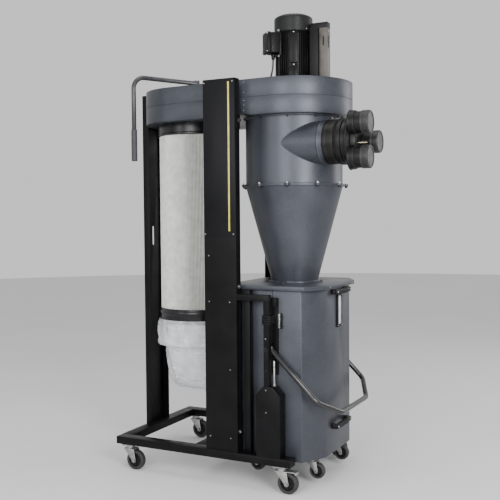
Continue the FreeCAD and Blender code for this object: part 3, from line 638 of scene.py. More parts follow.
def show_frame():
    for node, ease, fold in (("base_side_rails", 3.0, 0), ("base_cross_rails", 1.1, 0),
                             ("side_posts", 1.2, 2.0), ("end_post", 1.2, 2.0),
                             ("duct_brackets", 0.9, 0)):
        softened(node, COAT, ease, fold)
    softened("front_post_panel", "panel_coat", 0.8, name="front_panel")
    stripe = machine_block((POST_RIGHT - 38, PANEL_FACE - 0.25, PANEL_LOW + 28),
                           (POST_RIGHT - 29.5, PANEL_FACE + 0.2, FRAME_TOP - 14), 0.1)
    piece("panel_stripe", stripe, "stripe_paint")


def rail_welds():
    """Beads where the base's cross rails and the posts meet the side rails."""
    low, high = span("base_cross_rails")
    beads = [weld(line((x, y, low.z + 2), (x, y, high.z - 2), 16))
             for x in (high.x, high.x - 60) for y in (low.y, high.y)]
    runs = [((POST_LEFT + 4, y), (POST_RIGHT - 4, y), 60)
            for y in (POST_FACE, 2 * MID_Y - POST_FACE)]
    runs += [((END_LOW.x + 3, END_LOW.y), (END_HIGH.x - 3, END_LOW.y), 16),
             ((END_HIGH.x, END_LOW.y + 3), (END_HIGH.x, END_HIGH.y - 3), 60)]
    beads += [weld(line((*start, RAIL_TOP), (*end, RAIL_TOP), steps), 1.7)
              for start, end, steps in runs]
    piece("frame_welds", joined(beads), COAT)


def frame_screws():
    """Pan heads in the posts and the panel, hexagon heads in their sides."""
    posts = [(POST_RIGHT - 36, POST_FACE, z) for z in (881, 560, 232)]
    posts += [(POST_LEFT + 22, POST_FACE, z) for z in (1100, 881, 232)]
    panel = [(x, PANEL_FACE, z) for x in (POST_LEFT + 6, POST_RIGHT - 12)
             for z in (FRAME_TOP - 14, PANEL_LOW + 14)]
    piece("front_screws", fastened(pan_screw, 8, posts + panel, FRONT), "zinc_plate")
    piece("rear_screws", fastened(pan_screw, 9, mirrored(posts), REAR), "blackened_bolt")
    side = [(POST_RIGHT, y, z) for y in (POST_MIDDLE, 2 * MID_Y - POST_MIDDLE) for z in (954, 262)]
    piece("side_bolts", fastened(hex_bolt, 11, side, ALONG), "zinc_plate")
    outer = [(END_LOW.x, y, z) for y in (END_LOW.y + 30, END_HIGH.y - 30)
             for z in (FRAME_TOP - 40, 196)]
    piece("end_bolts", fastened(hex_bolt, 11, outer, -ALONG), "zinc_plate")


show_frame()
rail_welds()
frame_screws()


# ---------------------------------------------------------------- fan housing

def show_housing():
    for part, ease in (("lower_band", 0.9), ("upper_band", 0.9), ("top", 0.8), ("bottom", 0.8)):
        softened("housing_" + part, "grey_paint", ease)


def housing_face(x):
    """How far out the housing's flat front stands at a place along the machine."""
    share = (x - FILTER.x) / (CYCLONE.x - FILTER.x)
    return MID_Y - (PLENUM_RADIUS + share * (FAN_RADIUS - PLENUM_RADIUS))


def housing_rivets():
    """Blind rivets where the bands meet the posts' brackets, and the top's screws round its rim."""
    x = POST_RIGHT + 10.5
    front = [(x, housing_face(x), FRAME_TOP - drop) for drop in (12, 59, 97, 118, 144)]
    tilt = (FAN_RADIUS - PLENUM_RADIUS) / (CYCLONE.x - FILTER.x)
    rivets = joined([fastened(pan_screw, 6, front, Vector((-tilt, -1, 0))),
                     fastened(pan_screw, 6, mirrored(front), Vector((-tilt, 1, 0)))])
    piece("housing_rivets", rivets, "zinc_plate")
    edge, count = 14, 7
    top = []
    for centre, radius, first in ((CYCLONE, FAN_RADIUS, -80), (FILTER, PLENUM_RADIUS, 100)):
        for step in range(count):
            angle = math.radians(first + step * 160 / (count - 1))
            top.append((centre.x + (radius - edge) * math.cos(angle),
                        centre.y + (radius - edge) * math.sin(angle), FRAME_TOP))
    for x in (420, 560, 700):
        near = (x, housing_face(x) + edge, FRAME_TOP)
        top += [near, *mirrored([near])]
    piece("housing_screws", fastened(pan_screw, 8, top, UP), "zinc_plate")


def housing_seam():
    """The closed joint between the two bands, in shadow."""
    low = span("housing_upper_band")[0].z
    outline = []
    for centre, radius, first in ((CYCLONE, FAN_RADIUS, -90), (FILTER, PLENUM_RADIUS, 90)):
        for step in range(49):
            angle = math.radians(first + step * 180 / 48)
            outline.append(at(centre.x + (radius - 0.7) * math.cos(angle),
                              centre.y + (radius - 0.7) * math.sin(angle), low - 0.3))
    piece("housing_joint", swept(outline, 0.9, 6, closed=True), "dark_recess")


show_housing()
housing_rivets()
housing_seam()


# ---------------------------------------------------------------- cyclone

BARREL_RADIUS = 240.0
BARREL_BORE = BARREL_RADIUS - SHEET
FLANGE_RADIUS = 252.0
FLANGE = 5
EAR_REACH = 268.0
EARS_FROM = FLANGE_RADIUS - 8
FLANGE_BOLTS = 11
BOLT_START = math.radians(-74)
CONE_FOOT = 116.0
PIPE_RADIUS = 100.0
PIPE = middle("inlet_pipe")
PIPE.y, PIPE.z = span("inlet_pipe")[0].y + PIPE_RADIUS, span("inlet_pipe")[0].z + PIPE_RADIUS
BARREL_LOW, BARREL_HIGH = span("cyclone_barrel")[0].z, span("cyclone_barrel")[1].z


def flange_ring(z, thickness, inner, outer):
    return around(CYCLONE, [(inner, z), (outer, z), (outer, z + thickness), (inner, z + thickness)],
                  96, ease=0.8)


def ears(z, thickness, reach, inner, count, start, width=22):
    """Rounded bolt ears round a flange."""
    made = []
    for step in range(count):
        tip = [(reach - width / 2 + width / 2 * math.cos(turn), width / 2 * math.sin(turn))
               for turn in [math.radians(-90 + degrees) for degrees in range(0, 200, 20)]]
        ear = slab([(inner, -width / 2 - 5)] + tip + [(inner, width / 2 + 5)], thickness, 0.7, 1)
        made.append(placed(ear, at(CYCLONE.x, CYCLONE.y, z), UP, start + math.tau * step / count))
    return made


def bolt_ring(name, make, size, centre, radius, count, z, way, finish, start=BOLT_START):
    """Fasteners spaced evenly on a level circle."""
    piece(name, fastened(make, size, on_circle(centre, radius, count, z, start), way), finish)


def show_barrel():
    """Rolled barrel with a pressed flange at each end, and the bolts through them."""
    low, high, radius = BARREL_LOW, BARREL_HIGH, BARREL_RADIUS
    wall = [(BARREL_BORE, low), (FLANGE_RADIUS, low), (FLANGE_RADIUS, low + FLANGE),
            (radius + 1.4, low + FLANGE), (radius, low + 7.5), (radius, high - 7.5),
            (radius + 1.4, high - FLANGE), (FLANGE_RADIUS, high - FLANGE), (FLANGE_RADIUS, high),
            (BARREL_BORE, high)]
    shapes = [around(CYCLONE, wall, 128, ease=0.8)]
    shapes += ears(low, FLANGE, EAR_REACH, EARS_FROM, FLANGE_BOLTS, BOLT_START)
    piece("barrel", joined(shapes), "grey_paint", "cyclone_barrel")
    seat, rim = EAR_REACH - 11, radius + 8
    for name, size, reach, z, way, finish in (
            ("barrel_bolts", 9, seat, low + FLANGE, UP, "zinc_plate"),
            ("barrel_nuts", 12, seat, low - FLANGE, -UP, "blackened_bolt"),
            ("barrel_top_bolts", 9, rim, high - FLANGE, -UP, "blackened_bolt")):
        bolt_ring(name, hex_bolt, size, CYCLONE, reach, FLANGE_BOLTS, z, way, finish)
    # Painted shade: a thin flat black ring stands for the shade in the gap over the top flange
    gap = flange_ring(high - 0.8, 1.0, radius, FLANGE_RADIUS + 0.3)
    piece("barrel_top_gap", gap, "dark_recess")


def show_cone():
    """Rolled cone, bolted to the barrel above and to the bin's lid at its foot."""
    low, high, foot = LID_TOP, BARREL_LOW, CONE_FOOT
    wall = [(foot - SHEET, low), (foot + 8, low), (foot + 8, low + 5), (foot + 1, low + 5),
            (foot, low + 7), (BARREL_RADIUS, high - 8), (BARREL_RADIUS + 1, high - FLANGE),
            (FLANGE_RADIUS, high - FLANGE), (FLANGE_RADIUS, high), (BARREL_BORE, high),
            (BARREL_BORE, high - 8)]
    shapes = [around(CYCLONE, wall, 128, ease=0.8)]
    shapes += ears(high - FLANGE, FLANGE, EAR_REACH, EARS_FROM, FLANGE_BOLTS, BOLT_START)
    piece("cone", joined(shapes), "grey_paint", "cyclone_cone")
    way, axis = heading(math.radians(118)), CYCLONE.xy.to_3d()
    seams = [line(axis + way * foot + UP * (low + 8),
                  axis + way * BARREL_RADIUS + UP * (high - 9), 120),
             line(axis + way * BARREL_RADIUS + UP * (high + 8),
                  axis + way * BARREL_RADIUS + UP * (BARREL_HIGH - 8), 90)]
    piece("cyclone_seams", joined([weld(seam, 1.6) for seam in seams]), "grey_paint")
    ring = [flange_ring(low, 4, foot + 6, foot + 15)]
    ring += ears(low, 4, foot + 34, foot + 11, 4, 0.0, 20)
    piece("cone_foot", joined(ring), "grey_paint")
    bolt_ring("cone_foot_bolts", hex_bolt, 9, CYCLONE, foot + 24, 4, low + 4, UP, "blackened_bolt",
              0.0)


show_barrel()
show_cone()


# ---------------------------------------------------------------- inlet

DRUM_LOW, DRUM_HIGH = span("manifold_drum")
COUPLING_START = span("inlet_coupling")[0].x
COUPLING_RADIUS = (span("inlet_coupling")[1].y - span("inlet_coupling")[0].y) / 2
PORT_END = span("inlet_ports")[1].x
PORT_RADIUS = 50
PORT_SEAT = 26
PORT_RING = 92.0
PORT_ANGLES = (0.0, 121.6, 238.4)


def around_pipe(profile, steps=96, ease=0.8):
    """Spins an outline of (radius, x) points about the inlet pipe's axis."""
    return placed(turned(profile, steps, ease=ease), at(0, PIPE.y, PIPE.z), ALONG)


def on_pipe(x, radius, angle):
    """A place at a radius and an angle about the inlet pipe's axis."""
    return x, PIPE.y + radius * math.cos(angle), PIPE.z + radius * math.sin(angle)


def port_origins():
    return [at(*on_pipe(0, PORT_RING, math.radians(angle))) for angle in PORT_ANGLES]


def show_inlet_pipe():
    """Rolled pipe welded tangentially into the barrel, with a bead near its open end."""
    end, radius = span("inlet_pipe")[1].x, PIPE_RADIUS
    start = CYCLONE.x + 30
    outer = [(radius - SHEET, start), (radius, start), (radius, end - 52), (radius + 2, end - 48),
             (radius + 2, end - 44), (radius, end - 40), (radius, end), (radius - SHEET, end)]
    piece("inlet", around_pipe(outer, ease=1.5), "grey_paint", "inlet_pipe", smooth=40)
    ring = []
    for degrees in range(0, 362, 2):
        _, y, z = on_pipe(0, radius, math.radians(degrees))
        out = math.sqrt(max(0.0, BARREL_RADIUS ** 2 - (y - CYCLONE.y) ** 2))
        ring.append((CYCLONE.x + out, y, z))
    piece("inlet_weld", weld(ring, 1.3), "grey_paint")


def show_coupling():
    """A moulded rubber sleeve, drawn tight by two worm-drive clamps, with a thick end collar."""
    start, end, radius = COUPLING_START, DRUM_LOW.x, COUPLING_RADIUS
    outer = [(-6, 0), (-3, 0), (-2, 3), (-2, 50), (-3.4, 52), (-3.4, 55), (-1.5, 57), (1, 66),
             (3, 72), (3, 86), (1, 89), (-5, 91), (-5, end - start), (-8, end - start), (-8, 90)]
    sleeve = around_pipe([(radius + out, start + x) for out, x in outer], ease=1.6)
    piece("coupling", sleeve, "coupling_rubber", "inlet_coupling", smooth=40)
    clamps = [around_pipe([(radius - 2.5, x), (radius - 0.8, x), (radius - 0.8, x + 12),
                           (radius - 2.5, x + 12)], ease=0.5) for x in (start + 10, start + 60)]
    for x, degrees in ((start + 10, 96), (start + 60, 84)):
        turn = math.radians(degrees)
        spot = at(*on_pipe(x + 6.5, radius + 4, turn))
        way = Vector((0, math.cos(turn), math.sin(turn)))
        clamps.append(placed(block((-7, -14, -4), (7, 14, 5), 1.5), spot, way))
        tangent = Vector((0, -math.sin(turn), math.cos(turn)))
        clamps.append(placed(hex_bolt(8), spot + tangent * 14 * MM, tangent))
    piece("clamps", joined(clamps), "blackened_bolt")


def show_manifold():
    """A pressed flange, and three short lobes with rolled shoulders that carry the ports."""
    low, high = DRUM_LOW.x, DRUM_HIGH.x
    rim = PIPE_RADIUS + 26
    disc = [(40, low), (rim - 3, low), (rim, low + 3), (rim, low + 9), (rim - 4, low + 12),
            (rim - 20, low + 14), (40, low + 14)]
    core = [(0.5, high - 4), (62, high - 4), (74, low + 12), (0.5, low + 12)]
    lobe = [(30, low + 8), (60, low + 8), (57, low + 14), (56, low + 20), (56, high - 9),
            (53, high - 1.5), (48, high), (30, high)]
    tube = [(PORT_RADIUS - SHEET, high - 2), (PORT_RADIUS, high - 2),
            (PORT_RADIUS, high + PORT_SEAT), (49.4, high + PORT_SEAT + 0.5), (49.4, PORT_END - 1),
            (PORT_RADIUS - SHEET, PORT_END - 1)]
    shapes = [around_pipe(disc, ease=1.5), around_pipe(core, ease=4)]
    shapes += [placed(turned(lobe, 64, ease=2.5), spot, ALONG) for spot in port_origins()]
    piece("manifold", joined(shapes), "black_plastic", "manifold_drum", smooth=45)
    tubes = [placed(turned(tube, 64), spot, ALONG) for spot in port_origins()]
    piece("ports", joined(tubes), "black_plastic", "inlet_ports")
    screws = [on_pipe(low + 12, rim - 8, math.radians(15 + 30 * step)) for step in range(12)]
    piece("manifold_screws", fastened(pan_screw, 7, screws, ALONG), "blackened_bolt")


def show_caps():
    """Push-on caps: a grooved skirt and a shallow dished face with a moulded rim."""
    for number in (1, 2, 3):
        node = f"port_cap_{number}"
        low, high = span(node)
        centre = (low + high) / 2
        rim, start, end = (high.y - low.y) / 2, low.x, high.x
        face = [(rim - 3.6, start), (rim - 0.6, start), (rim, start + 1.5), (rim, start + 8),
                (rim - 1.6, start + 9.5), (rim - 1.6, start + 12.5), (rim, start + 14),
                (rim, end - 5), (rim - 1.5, end - 1.6), (rim - 5, end), (rim - 8.5, end - 0.3),
                (rim - 10.5, end - 3.2), (rim - 24, end - 4), (0.4, end - 3.2), (0.4, end - 9),
                (rim - 3.6, end - 9)]
        shape = placed(turned(face, 80, ease=0.8), at(0, centre.y, centre.z), ALONG)
        piece(f"cap_{number}_finish", shape, "cap_plastic", node, f"cap_{number}", 40)


def show_cap_pin():
    """A plated pin between the caps, to which their straps are tied."""
    profile = [(0, 0), (3.5, 0), (3.5, 44), (2.5, 46), (0, 46)]
    pin = placed(turned(profile, 16, closed=False), at(DRUM_HIGH.x - 6, PIPE.y - 30, PIPE.z - 12),
                 ALONG)
    piece("cap_pin", pin, "brass_plate")


show_inlet_pipe()
show_coupling()
show_manifold()
show_caps()
show_cap_pin()


# ---------------------------------------------------------------- filter

MEDIA_LOW, MEDIA_HIGH = span("filter_media")[0].z, span("filter_media")[1].z
COLLAR_RADIUS = half_width("filter_top_collar")
COLLAR_LOW = span("filter_bottom_collar")[0].z
PLEATS, PLEAT_ROWS = 170, 16
DIAMONDS, DIAMOND_RISE, STRAND = 84, 10.0, 0.75


def on_filter(shape, radius, angle, z):
    """A vertex at a radius and an angle about the filter, in millimetres."""
    return shape.verts.new((radius * MM * math.cos(angle), radius * MM * math.sin(angle), z * MM))


def show_pleats():
    """Upright pleats, a little uneven as glued media is, around the cartridge."""
    shape = bmesh.new()
    depths = (FILTER_RADIUS - 2.2, FILTER_RADIUS - 5, FILTER_RADIUS - 13, FILTER_RADIUS - 5)
    around_it = 4 * PLEATS
    rings = []
    for row in range(PLEAT_ROWS + 1):
        z = MEDIA_LOW + (MEDIA_HIGH - MEDIA_LOW) * row / PLEAT_ROWS
        ring = []
        for step in range(around_it):
            stir = noise.noise(Vector((step / 9, row * 0.35, 0))) * 0.35
            ring.append(on_filter(shape, depths[step % 4], math.tau * (step + stir) / around_it, z))
        rings.append(ring)
    for lower, upper in zip(rings, rings[1:]):
        for step, vert in enumerate(lower):
            after = (step + 1) % around_it
            shape.faces.new((vert, lower[after], upper[after], upper[step]))
    piece("pleats", stood(shape, FILTER), "filter_pleats", "filter_media", smooth=60)


def show_screen():
    """The expanded-metal screen outside the pleats: diamonds 15 mm wide and 20 mm high."""
    shape = bmesh.new()
    spots = {}

    def spot(column, row):
        key = (column % (2 * DIAMONDS), row)
        if key not in spots:
            spots[key] = on_filter(shape, FILTER_RADIUS - 0.4, math.pi * key[0] / DIAMONDS,
                                   MEDIA_LOW + 6 + DIAMOND_RISE * row)
        return spots[key]

    for row in range(1, int((MEDIA_HIGH - MEDIA_LOW - 12) / DIAMOND_RISE)):
        for column in range(row % 2, 2 * DIAMONDS, 2):
            shape.faces.new((spot(column, row - 1), spot(column + 1, row), spot(column, row + 1),
                             spot(column - 1, row)))
    diamonds = list(shape.faces)
    bmesh.ops.inset_individual(shape, faces=diamonds, thickness=STRAND * MM, depth=0)
    bmesh.ops.delete(shape, geom=diamonds, context="FACES")
    bmesh.ops.recalc_face_normals(shape, faces=shape.faces)
    piece("screen", stood(shape, FILTER), "screen_wire", smooth=60)


def show_collars():
    """Spun collars with a rolled lip over the media, gloss black."""
    outer, inner = COLLAR_RADIUS, FILTER_RADIUS - 22
    low, high = span("filter_top_collar")[0].z, span("filter_top_collar")[1].z
    top = [(inner, low), (outer - 3, low), (outer, low + 3), (outer, low + 9),
           (outer - 2, low + 12), (outer - 2, high), (inner, high)]
    low, high = COLLAR_LOW, MEDIA_LOW + 20
    foot = [(inner, low), (outer - 2, low), (outer - 2, high - 34), (outer, high - 31),
            (outer + 1.5, high - 24), (outer + 1.5, high - 20), (outer, high - 13),
            (outer - 3.5, high - 9), (outer - 3.5, high - 4), (outer - 4.5, high),
            (outer - 7, high), (outer - 7, high - 18), (inner, high - 20)]
    for part, profile in (("top", top), ("bottom", foot)):
        piece(part + "_collar", around(FILTER, profile, 128, ease=1.5), "filter_collar_paint",
              f"filter_{part}_collar", smooth=40)


show_pleats()
show_screen()
show_collars()


# ---------------------------------------------------------------- clear bag

# Heights from the collar's foot, and half widths along and across the machine, in millimetres:
# a loose cuff over the collar, a step in under it, and a round bag that closes into a flat seam.
BAG_STATIONS = [(20, 208.8, 208.8), (12, 209.5, 209.5), (4, 212, 212), (-34, 214, 214),
                (-74, 217, 217), (-104, 219, 219), (-112, 217, 217), (-117, 205, 205),
                (-121, 180, 180), (-144, 175, 175), (-190, 175, 170), (-250, 169, 150),
                (-302, 158, 116), (-340, 145, 68), (-358, 137, 26), (-366, 132, 4),
                (-379, 130, 1.6)]
BAG_AROUND = 160
# The heights that cloth settling leaves alone: the top, the cuff's rim and the flat seam
BAG_HELD = ((0, 30), (-126, -100), (-380, -352))
BAG_FRAMES = 12


def bag_width(level):
    """Half widths of the bag at a height from the collar's foot."""
    for (top, a0, b0), (low, a1, b1) in zip(BAG_STATIONS, BAG_STATIONS[1:]):
        if level >= low:
            mix = (top - level) / (top - low)
            return a0 + (a1 - a0) * mix, b0 + (b1 - b0) * mix
    return BAG_STATIONS[-1][1:]


def creased(point):
    """Film creases, from 0 to 1: sharp ridges that run mostly across the bag."""
    across = Vector((point.x * 8, point.y * 8, point.z * 17 + 3))
    ridges = 1 - 2 * abs(noise.noise(across))
    fine = 1 - 2 * abs(noise.noise(across * 2.9))
    return 0.65 * max(0, ridges) ** 3 + 0.35 * max(0, fine) ** 3


def bag_levels():
    """Heights of the bag's rows, closer together where the film turns."""
    levels = []
    for (top, *_), (low, *_) in zip(BAG_STATIONS, BAG_STATIONS[1:]):
        rows = max(1, round((top - low) / 4.5))
        levels += [top + (low - top) * step / rows for step in range(rows)]
    return levels + [BAG_STATIONS[-1][0]]


def bag_shape():
    """The film's rows: puffed creases, gathers under the cuff's top and three slack folds."""
    shape = bmesh.new()
    rings = []
    for level in bag_levels():
        half_x, half_y = bag_width(level)
        loose = min(1, (20 - level) / 12) * (1 if level > -300 else max(0.1, (level + 366) / 66))
        gather = 3.4 * math.exp(-((level + 6) / 14) ** 2)
        ring = []
        for step in range(BAG_AROUND):
            angle = math.tau * step / BAG_AROUND
            way = heading(angle)
            spot = Vector((half_x * way.x, half_y * way.y, COLLAR_LOW + level)) * MM
            puff = 5.5 * creased(spot) * loose
            tuck = gather * abs(math.sin(15 * angle + 2 * math.sin(4 * angle)))
            drape = 2.2 * math.sin(7 * angle + level / 60) * loose * (level < -20)
            sway = 5 * noise.noise(Vector((2.2 * way.x, 2.2 * way.y, 9)))
            for band, reach in ((-14, 13), (-150, 20), (-292, 24)):
                drape += (3.6 * math.exp(-((level - band) / reach) ** 2)
                          * math.sin(level / 4.2 + sway))
            ring.append(shape.verts.new(spot + way * (puff + tuck + drape) * MM))
        rings.append(ring)
    for upper, lower in zip(rings, rings[1:]):
        for step in range(BAG_AROUND):
            after = (step + 1) % BAG_AROUND
            shape.faces.new((upper[step], lower[step], lower[after], upper[after]))
    foot, half = rings[-1], BAG_AROUND // 2
    shape.faces.new((foot[0], foot[1], foot[-1]))
    for step in range(1, half - 1):
        shape.faces.new((foot[step], foot[step + 1], foot[-step - 1], foot[-step]))
    shape.faces.new((foot[half - 1], foot[half], foot[half + 1]))
    bmesh.ops.recalc_face_normals(shape, faces=shape.faces)
    return shape


def settled(bag):
    """Lets the film slacken and settle as cloth, held at the collar and along its flat seam."""
    held = bag.vertex_groups.new(name="held")
    for low, high in BAG_HELD:
        held.add([vert.index for vert in bag.data.vertices
                  if low < vert.co.z / MM - COLLAR_LOW < high], 1.0, "REPLACE")
    cloth = bag.modifiers.new("film", "CLOTH")
    film = cloth.settings
    film.quality = 6
    film.mass = 0.05
    film.tension_stiffness = film.compression_stiffness = film.shear_stiffness = 25
    film.bending_stiffness = 0.05
    film.vertex_group_mass = "held"
    film.shrink_min = -0.02
    cloth.point_cache.frame_end = BAG_FRAMES
    scene = bpy.context.scene
    for step in range(1, BAG_FRAMES + 1):
        scene.frame_set(step)
    shaped = bpy.data.meshes.new_from_object(
        bag.evaluated_get(bpy.context.evaluated_depsgraph_get()))
    bag.modifiers.clear()
    bag.data = shaped
    scene.frame_set(1)


bag = piece("bag", stood(bag_shape(), FILTER), "clear_bag", "dust_bag", smooth=75)
settled(bag)


# ---------------------------------------------------------------- crank

CRANK_REST = math.radians(-116.7)
CRANK_Z = span("crank_arm")[1].z - 14.5
CRANK_REACH = 374.0


def show_hub():
    """A flanged bearing with four countersunk screws, under the crank's clamped head."""
    low = FRAME_TOP
    profile = [(12.2, low), (38, low), (38, low + 5), (36, low + 6), (19.5, low + 6.5),
               (18, low + 8), (18, low + 29), (17, low + 30), (12.2, low + 30)]
    piece("hub", around(FILTER, profile, 64, ease=0.8), "zinc_plate", "crank_hub", smooth=40)
    bolt_ring("hub_screws", pan_screw, 8, FILTER, 28, 4, low + 6, UP, "blackened_bolt", 0.6)


def show_crank():
    """Bent bar with a clamped head, a set screw, and a sleeve grip that spins on its drop."""
    piece("crank", copied("crank_arm", flat=False), "crank_paint", "crank_arm", "filter_crank", 50)
    side = Vector((-math.sin(CRANK_REST), math.cos(CRANK_REST), 0))
    screw = placed(hex_bolt(8), at(FILTER.x, FILTER.y, CRANK_Z - 18) + side * 15.5 * MM, side)
    piece("crank_set_screw", screw, "blackened_bolt", body="filter_crank")
    low, high = (corner.z for corner in span("crank_grip"))
    profile = [(0.3, low), (12, low), (15, low + 2.5), (15, low + 4.5), (14.2, low + 5.5)]
    z = low + 9
    while z < high - 10:
        profile += [(15, z), (15, z + 7), (14.2, z + 8.2), (14.2, z + 9.6)]
        z += 11
    profile += [(15, high - 4), (14, high), (12, high), (12, low + 6), (0.3, low + 6)]
    axis = FILTER + heading(CRANK_REST) * CRANK_REACH
    piece("grip", around(axis, profile, 40, ease=0.5), "grip_rubber", "crank_grip", "filter_crank",
          40)


show_hub()
show_crank()


# ---------------------------------------------------------------- motor and starter

MOTOR_HIGH = span("motor_body")[1].z
COVER_LOW, COVER_HIGH = span("motor_fan_cover")[0].z, span("motor_fan_cover")[1].z
CROWN = 24
FINS = 52
PAD_ANGLE = math.radians(-66)
JUNCTION = math.radians(228)


def motor_block(low, high, ease, turn, segments=2):
    """A block given about the motor's axis, turned round it; its heights are from the floor."""
    return stood(block(low, high, ease, segments), CYCLONE, turn)


def on_motor(angle, out, across, z):
    """A machine place out from the motor's axis at an angle, and across from there."""
    way = heading(angle)
    side = Vector((-way.y, way.x, 0))
    return Vector((CYCLONE.x, CYCLONE.y, 0)) + way * out + side * across + UP * z


def show_motor():
    """Cast body: thin upright fins between a foot ring and a top ring, with two flat pads."""
    low, high = FRAME_TOP, MOTOR_HIGH
    core = [(0.5, low), (89, low), (90, low + 2), (90, low + 8), (84, low + 11), (81, low + 16),
            (81, high - 22), (85, high - 14), (89.5, high - 10), (89.5, high), (0.5, high)]
    shapes = [around(CYCLONE, core, 96, ease=1.2)]
    for step in range(FINS):
        angle = math.tau * (step + 0.5) / FINS
        away = min(abs(math.remainder(angle - pad, math.tau)) for pad in (PAD_ANGLE, JUNCTION))
        if away > math.radians(15):
            shapes.append(motor_block((78, -1.5, low + 9), (90, 1.5, high - 10), 0.7, angle, 1))
    shapes.append(motor_block((74, -20, low + 100), (90, 20, high - 8), 2.5, PAD_ANGLE))
    shapes.append(motor_block((74, -20, low + 8), (87.5, 20, low + 84), 2.5, PAD_ANGLE))
    for side in (-6, 6):
        shapes.append(motor_block((80, side - 2, low + 8), (90, side + 2, low + 84), 1.2,
                                  PAD_ANGLE))
    shapes.append(motor_block((70, -34, low + 140), (91, 34, high - 6), 3, JUNCTION))
    piece("motor", joined(shapes), "motor_enamel", "motor_body", smooth=40)
    way = heading(PAD_ANGLE)
    screws = [on_motor(PAD_ANGLE, 88, 0, low + 90), on_motor(PAD_ANGLE, 90, 0, high - 18)]
    piece("motor_screws", fastened(pan_screw, 9, screws, way), "zinc_plate")
    # Painted shade: two flat black blocks on the pad stand for the shade inside its drain holes
    holes = [placed(block((-6, -3, -1), (6, 3, 6.5), 2),
                    at(*on_motor(PAD_ANGLE, 84, side, low + 93)), way) for side in (-13, 13)]
    piece("motor_drains", joined(holes), "dark_recess")


def show_fan_cover():
    """A drawn steel dome with rings of air slots in its crown and three screws round its skirt."""
    low, high = COVER_LOW, COVER_HIGH
    rim = half_width("motor_fan_cover")
    shoulder = high - CROWN
    skirt = [(rim - 2, low), (rim, low), (rim, low + 4), (rim, shoulder - 6)]
    dome = []
    for degrees in range(0, 91, 6):
        turn = math.radians(degrees)
        dome.append((max(0.4, (rim - 26) * math.cos(turn) ** 0.7 + 26 * math.cos(turn)),
                     shoulder + CROWN * math.sin(turn)))
    inner = [(max(0.4, radius - 2), z - 2) for radius, z in reversed(dome)]
    piece("fan_cover", around(CYCLONE, skirt + dome + inner, 96), "fan_cover_paint",
          "motor_fan_cover", smooth=40)
    # Painted shade: the air slots are flat black marks on the dome, standing for the shade inside
    # slots that are not cut
    slots = []
    for radius, count in ((30, 14), (46, 20), (62, 28)):
        rise = high - CROWN * (1 - math.sqrt(max(0, 1 - (radius / rim) ** 2))) * 0.55
        slots += [motor_block((radius - 6, -1.6, rise - 4), (radius + 6, 1.6, rise - 0.9), 0,
                              math.tau * step / count) for step in range(count)]
    piece("cover_slots", joined(slots), "dark_recess")
    screws = [placed(pan_screw(8), at(*on_motor(turn, rim, 0, low + 8)), heading(turn))
              for turn in map(math.radians, (-24, 96, 216))]
    piece("cover_screws", joined(screws), "zinc_plate")


def show_junction_box():
    """A die-cast terminal box: drafted body, gasketed lid with four screws, and a cable gland."""
    low, high = FRAME_TOP + 148, FRAME_TOP + 252
    body = motor_block((84, -35, low + 1), (133, 35, high - 1), 7, JUNCTION, 4)
    lid = motor_block((134.5, -36.5, low), (152, 36.5, high), 6, JUNCTION, 4)
    piece("junction_box", joined([body, lid]), "motor_enamel", "motor_junction_box", smooth=40)
    gasket = motor_block((131, -34, low + 2.5), (136, 34, high - 2.5), 3, JUNCTION)
    piece("junction_gasket", gasket, "gasket_foam")
    for name, make, size, out, sides, heights in (
            ("junction_screws", pan_screw, 8, 152, (-28, 28), (low + 9, high - 9)),
            ("junction_lugs", hex_bolt, 9, 91, (-30, 30), (low - 12, high + 8))):
        spots = [on_motor(JUNCTION, out, across, z) for across in sides for z in heights]
        piece(name, fastened(make, size, spots, heading(JUNCTION)), "zinc_plate")
    gland = [(4.6, -25), (7, -25), (7.5, -22), (9, -20), (9, -10), (10.5, -9), (10.5, -2), (9.5, 2),
             (4.6, 2)]
    piece("gland", placed(turned(gland, 24, ease=0.6), at(GLAND_X, GLAND_Y, low)), "black_plastic")


def show_starter():
    """The switch: a black back box with its cap, and a hammered cover with its slot."""
    softened("starter_back_box", "black_plastic", 2.5)
    softened("starter_cover", "starter_paint", 2.2)
    low, high = span("starter_cover")
    mid_y = (low.y + high.y) / 2
    # Painted shade: flat black strips on the cover's end and front stand for the shade in its slots
    slot = machine_block((high.x - 0.4, mid_y - 9, high.z - 96),
                         (high.x + 0.5, mid_y + 3, high.z - 38), 0.4)
    front = machine_block((low.x + 19, low.y - 0.5, high.z - 86),
                          (low.x + 26, low.y + 0.4, high.z - 40), 0.3)
    piece("starter_slot", joined([slot, front]), "dark_recess")
    screws = [(high.x, mid_y, z) for z in (high.z - 16, low.z + 16)]
    piece("starter_screws", fastened(pan_screw, 7, screws, ALONG), "zinc_plate")


show_motor()
show_fan_cover()
show_junction_box()
show_starter()


# ---------------------------------------------------------------- bin, lid and window

BIN_LOW, BIN_HIGH = span("bin_shell")
LID_LOW, LID_HIGH = span("bin_lid")
SEAM_X = BIN_LOW.x + 240


def show_bin():
    softened("bin_lid", "grey_paint", 1.3)
    softened("bin_shell", "grey_paint", 0.8, 2.5, "bin")
    softened("bin_gasket", "gasket_foam", 0.6, body="bin")
    softened("lid_posts", COAT, 1.6)
    front = BIN_LOW.y
    # Painted shade: a flat black strip at each lap seam stands for the shade in its groove
    seams = block_pair((SEAM_X, front - 0.3, BIN_LOW.z + 3),
                       (SEAM_X + 1.8, front + 0.3, BIN_HIGH.z - 2), 0)
    piece("bin_seams", seams, "dark_recess", body="bin")
    laps = block_pair((SEAM_X + 1.8, front - 1.1, BIN_LOW.z + 2),
                      (SEAM_X + 16, front + 0.4, BIN_HIGH.z - 1), 0.5)
    piece("bin_laps", laps, "grey_paint", body="bin")
    rivets = [(LID_HIGH.x, MID_Y + side, LID_LOW.z + 10) for side in (-150, 150)]
    piece("lid_rivets", fastened(pan_screw, 6, rivets, ALONG), "zinc_plate")


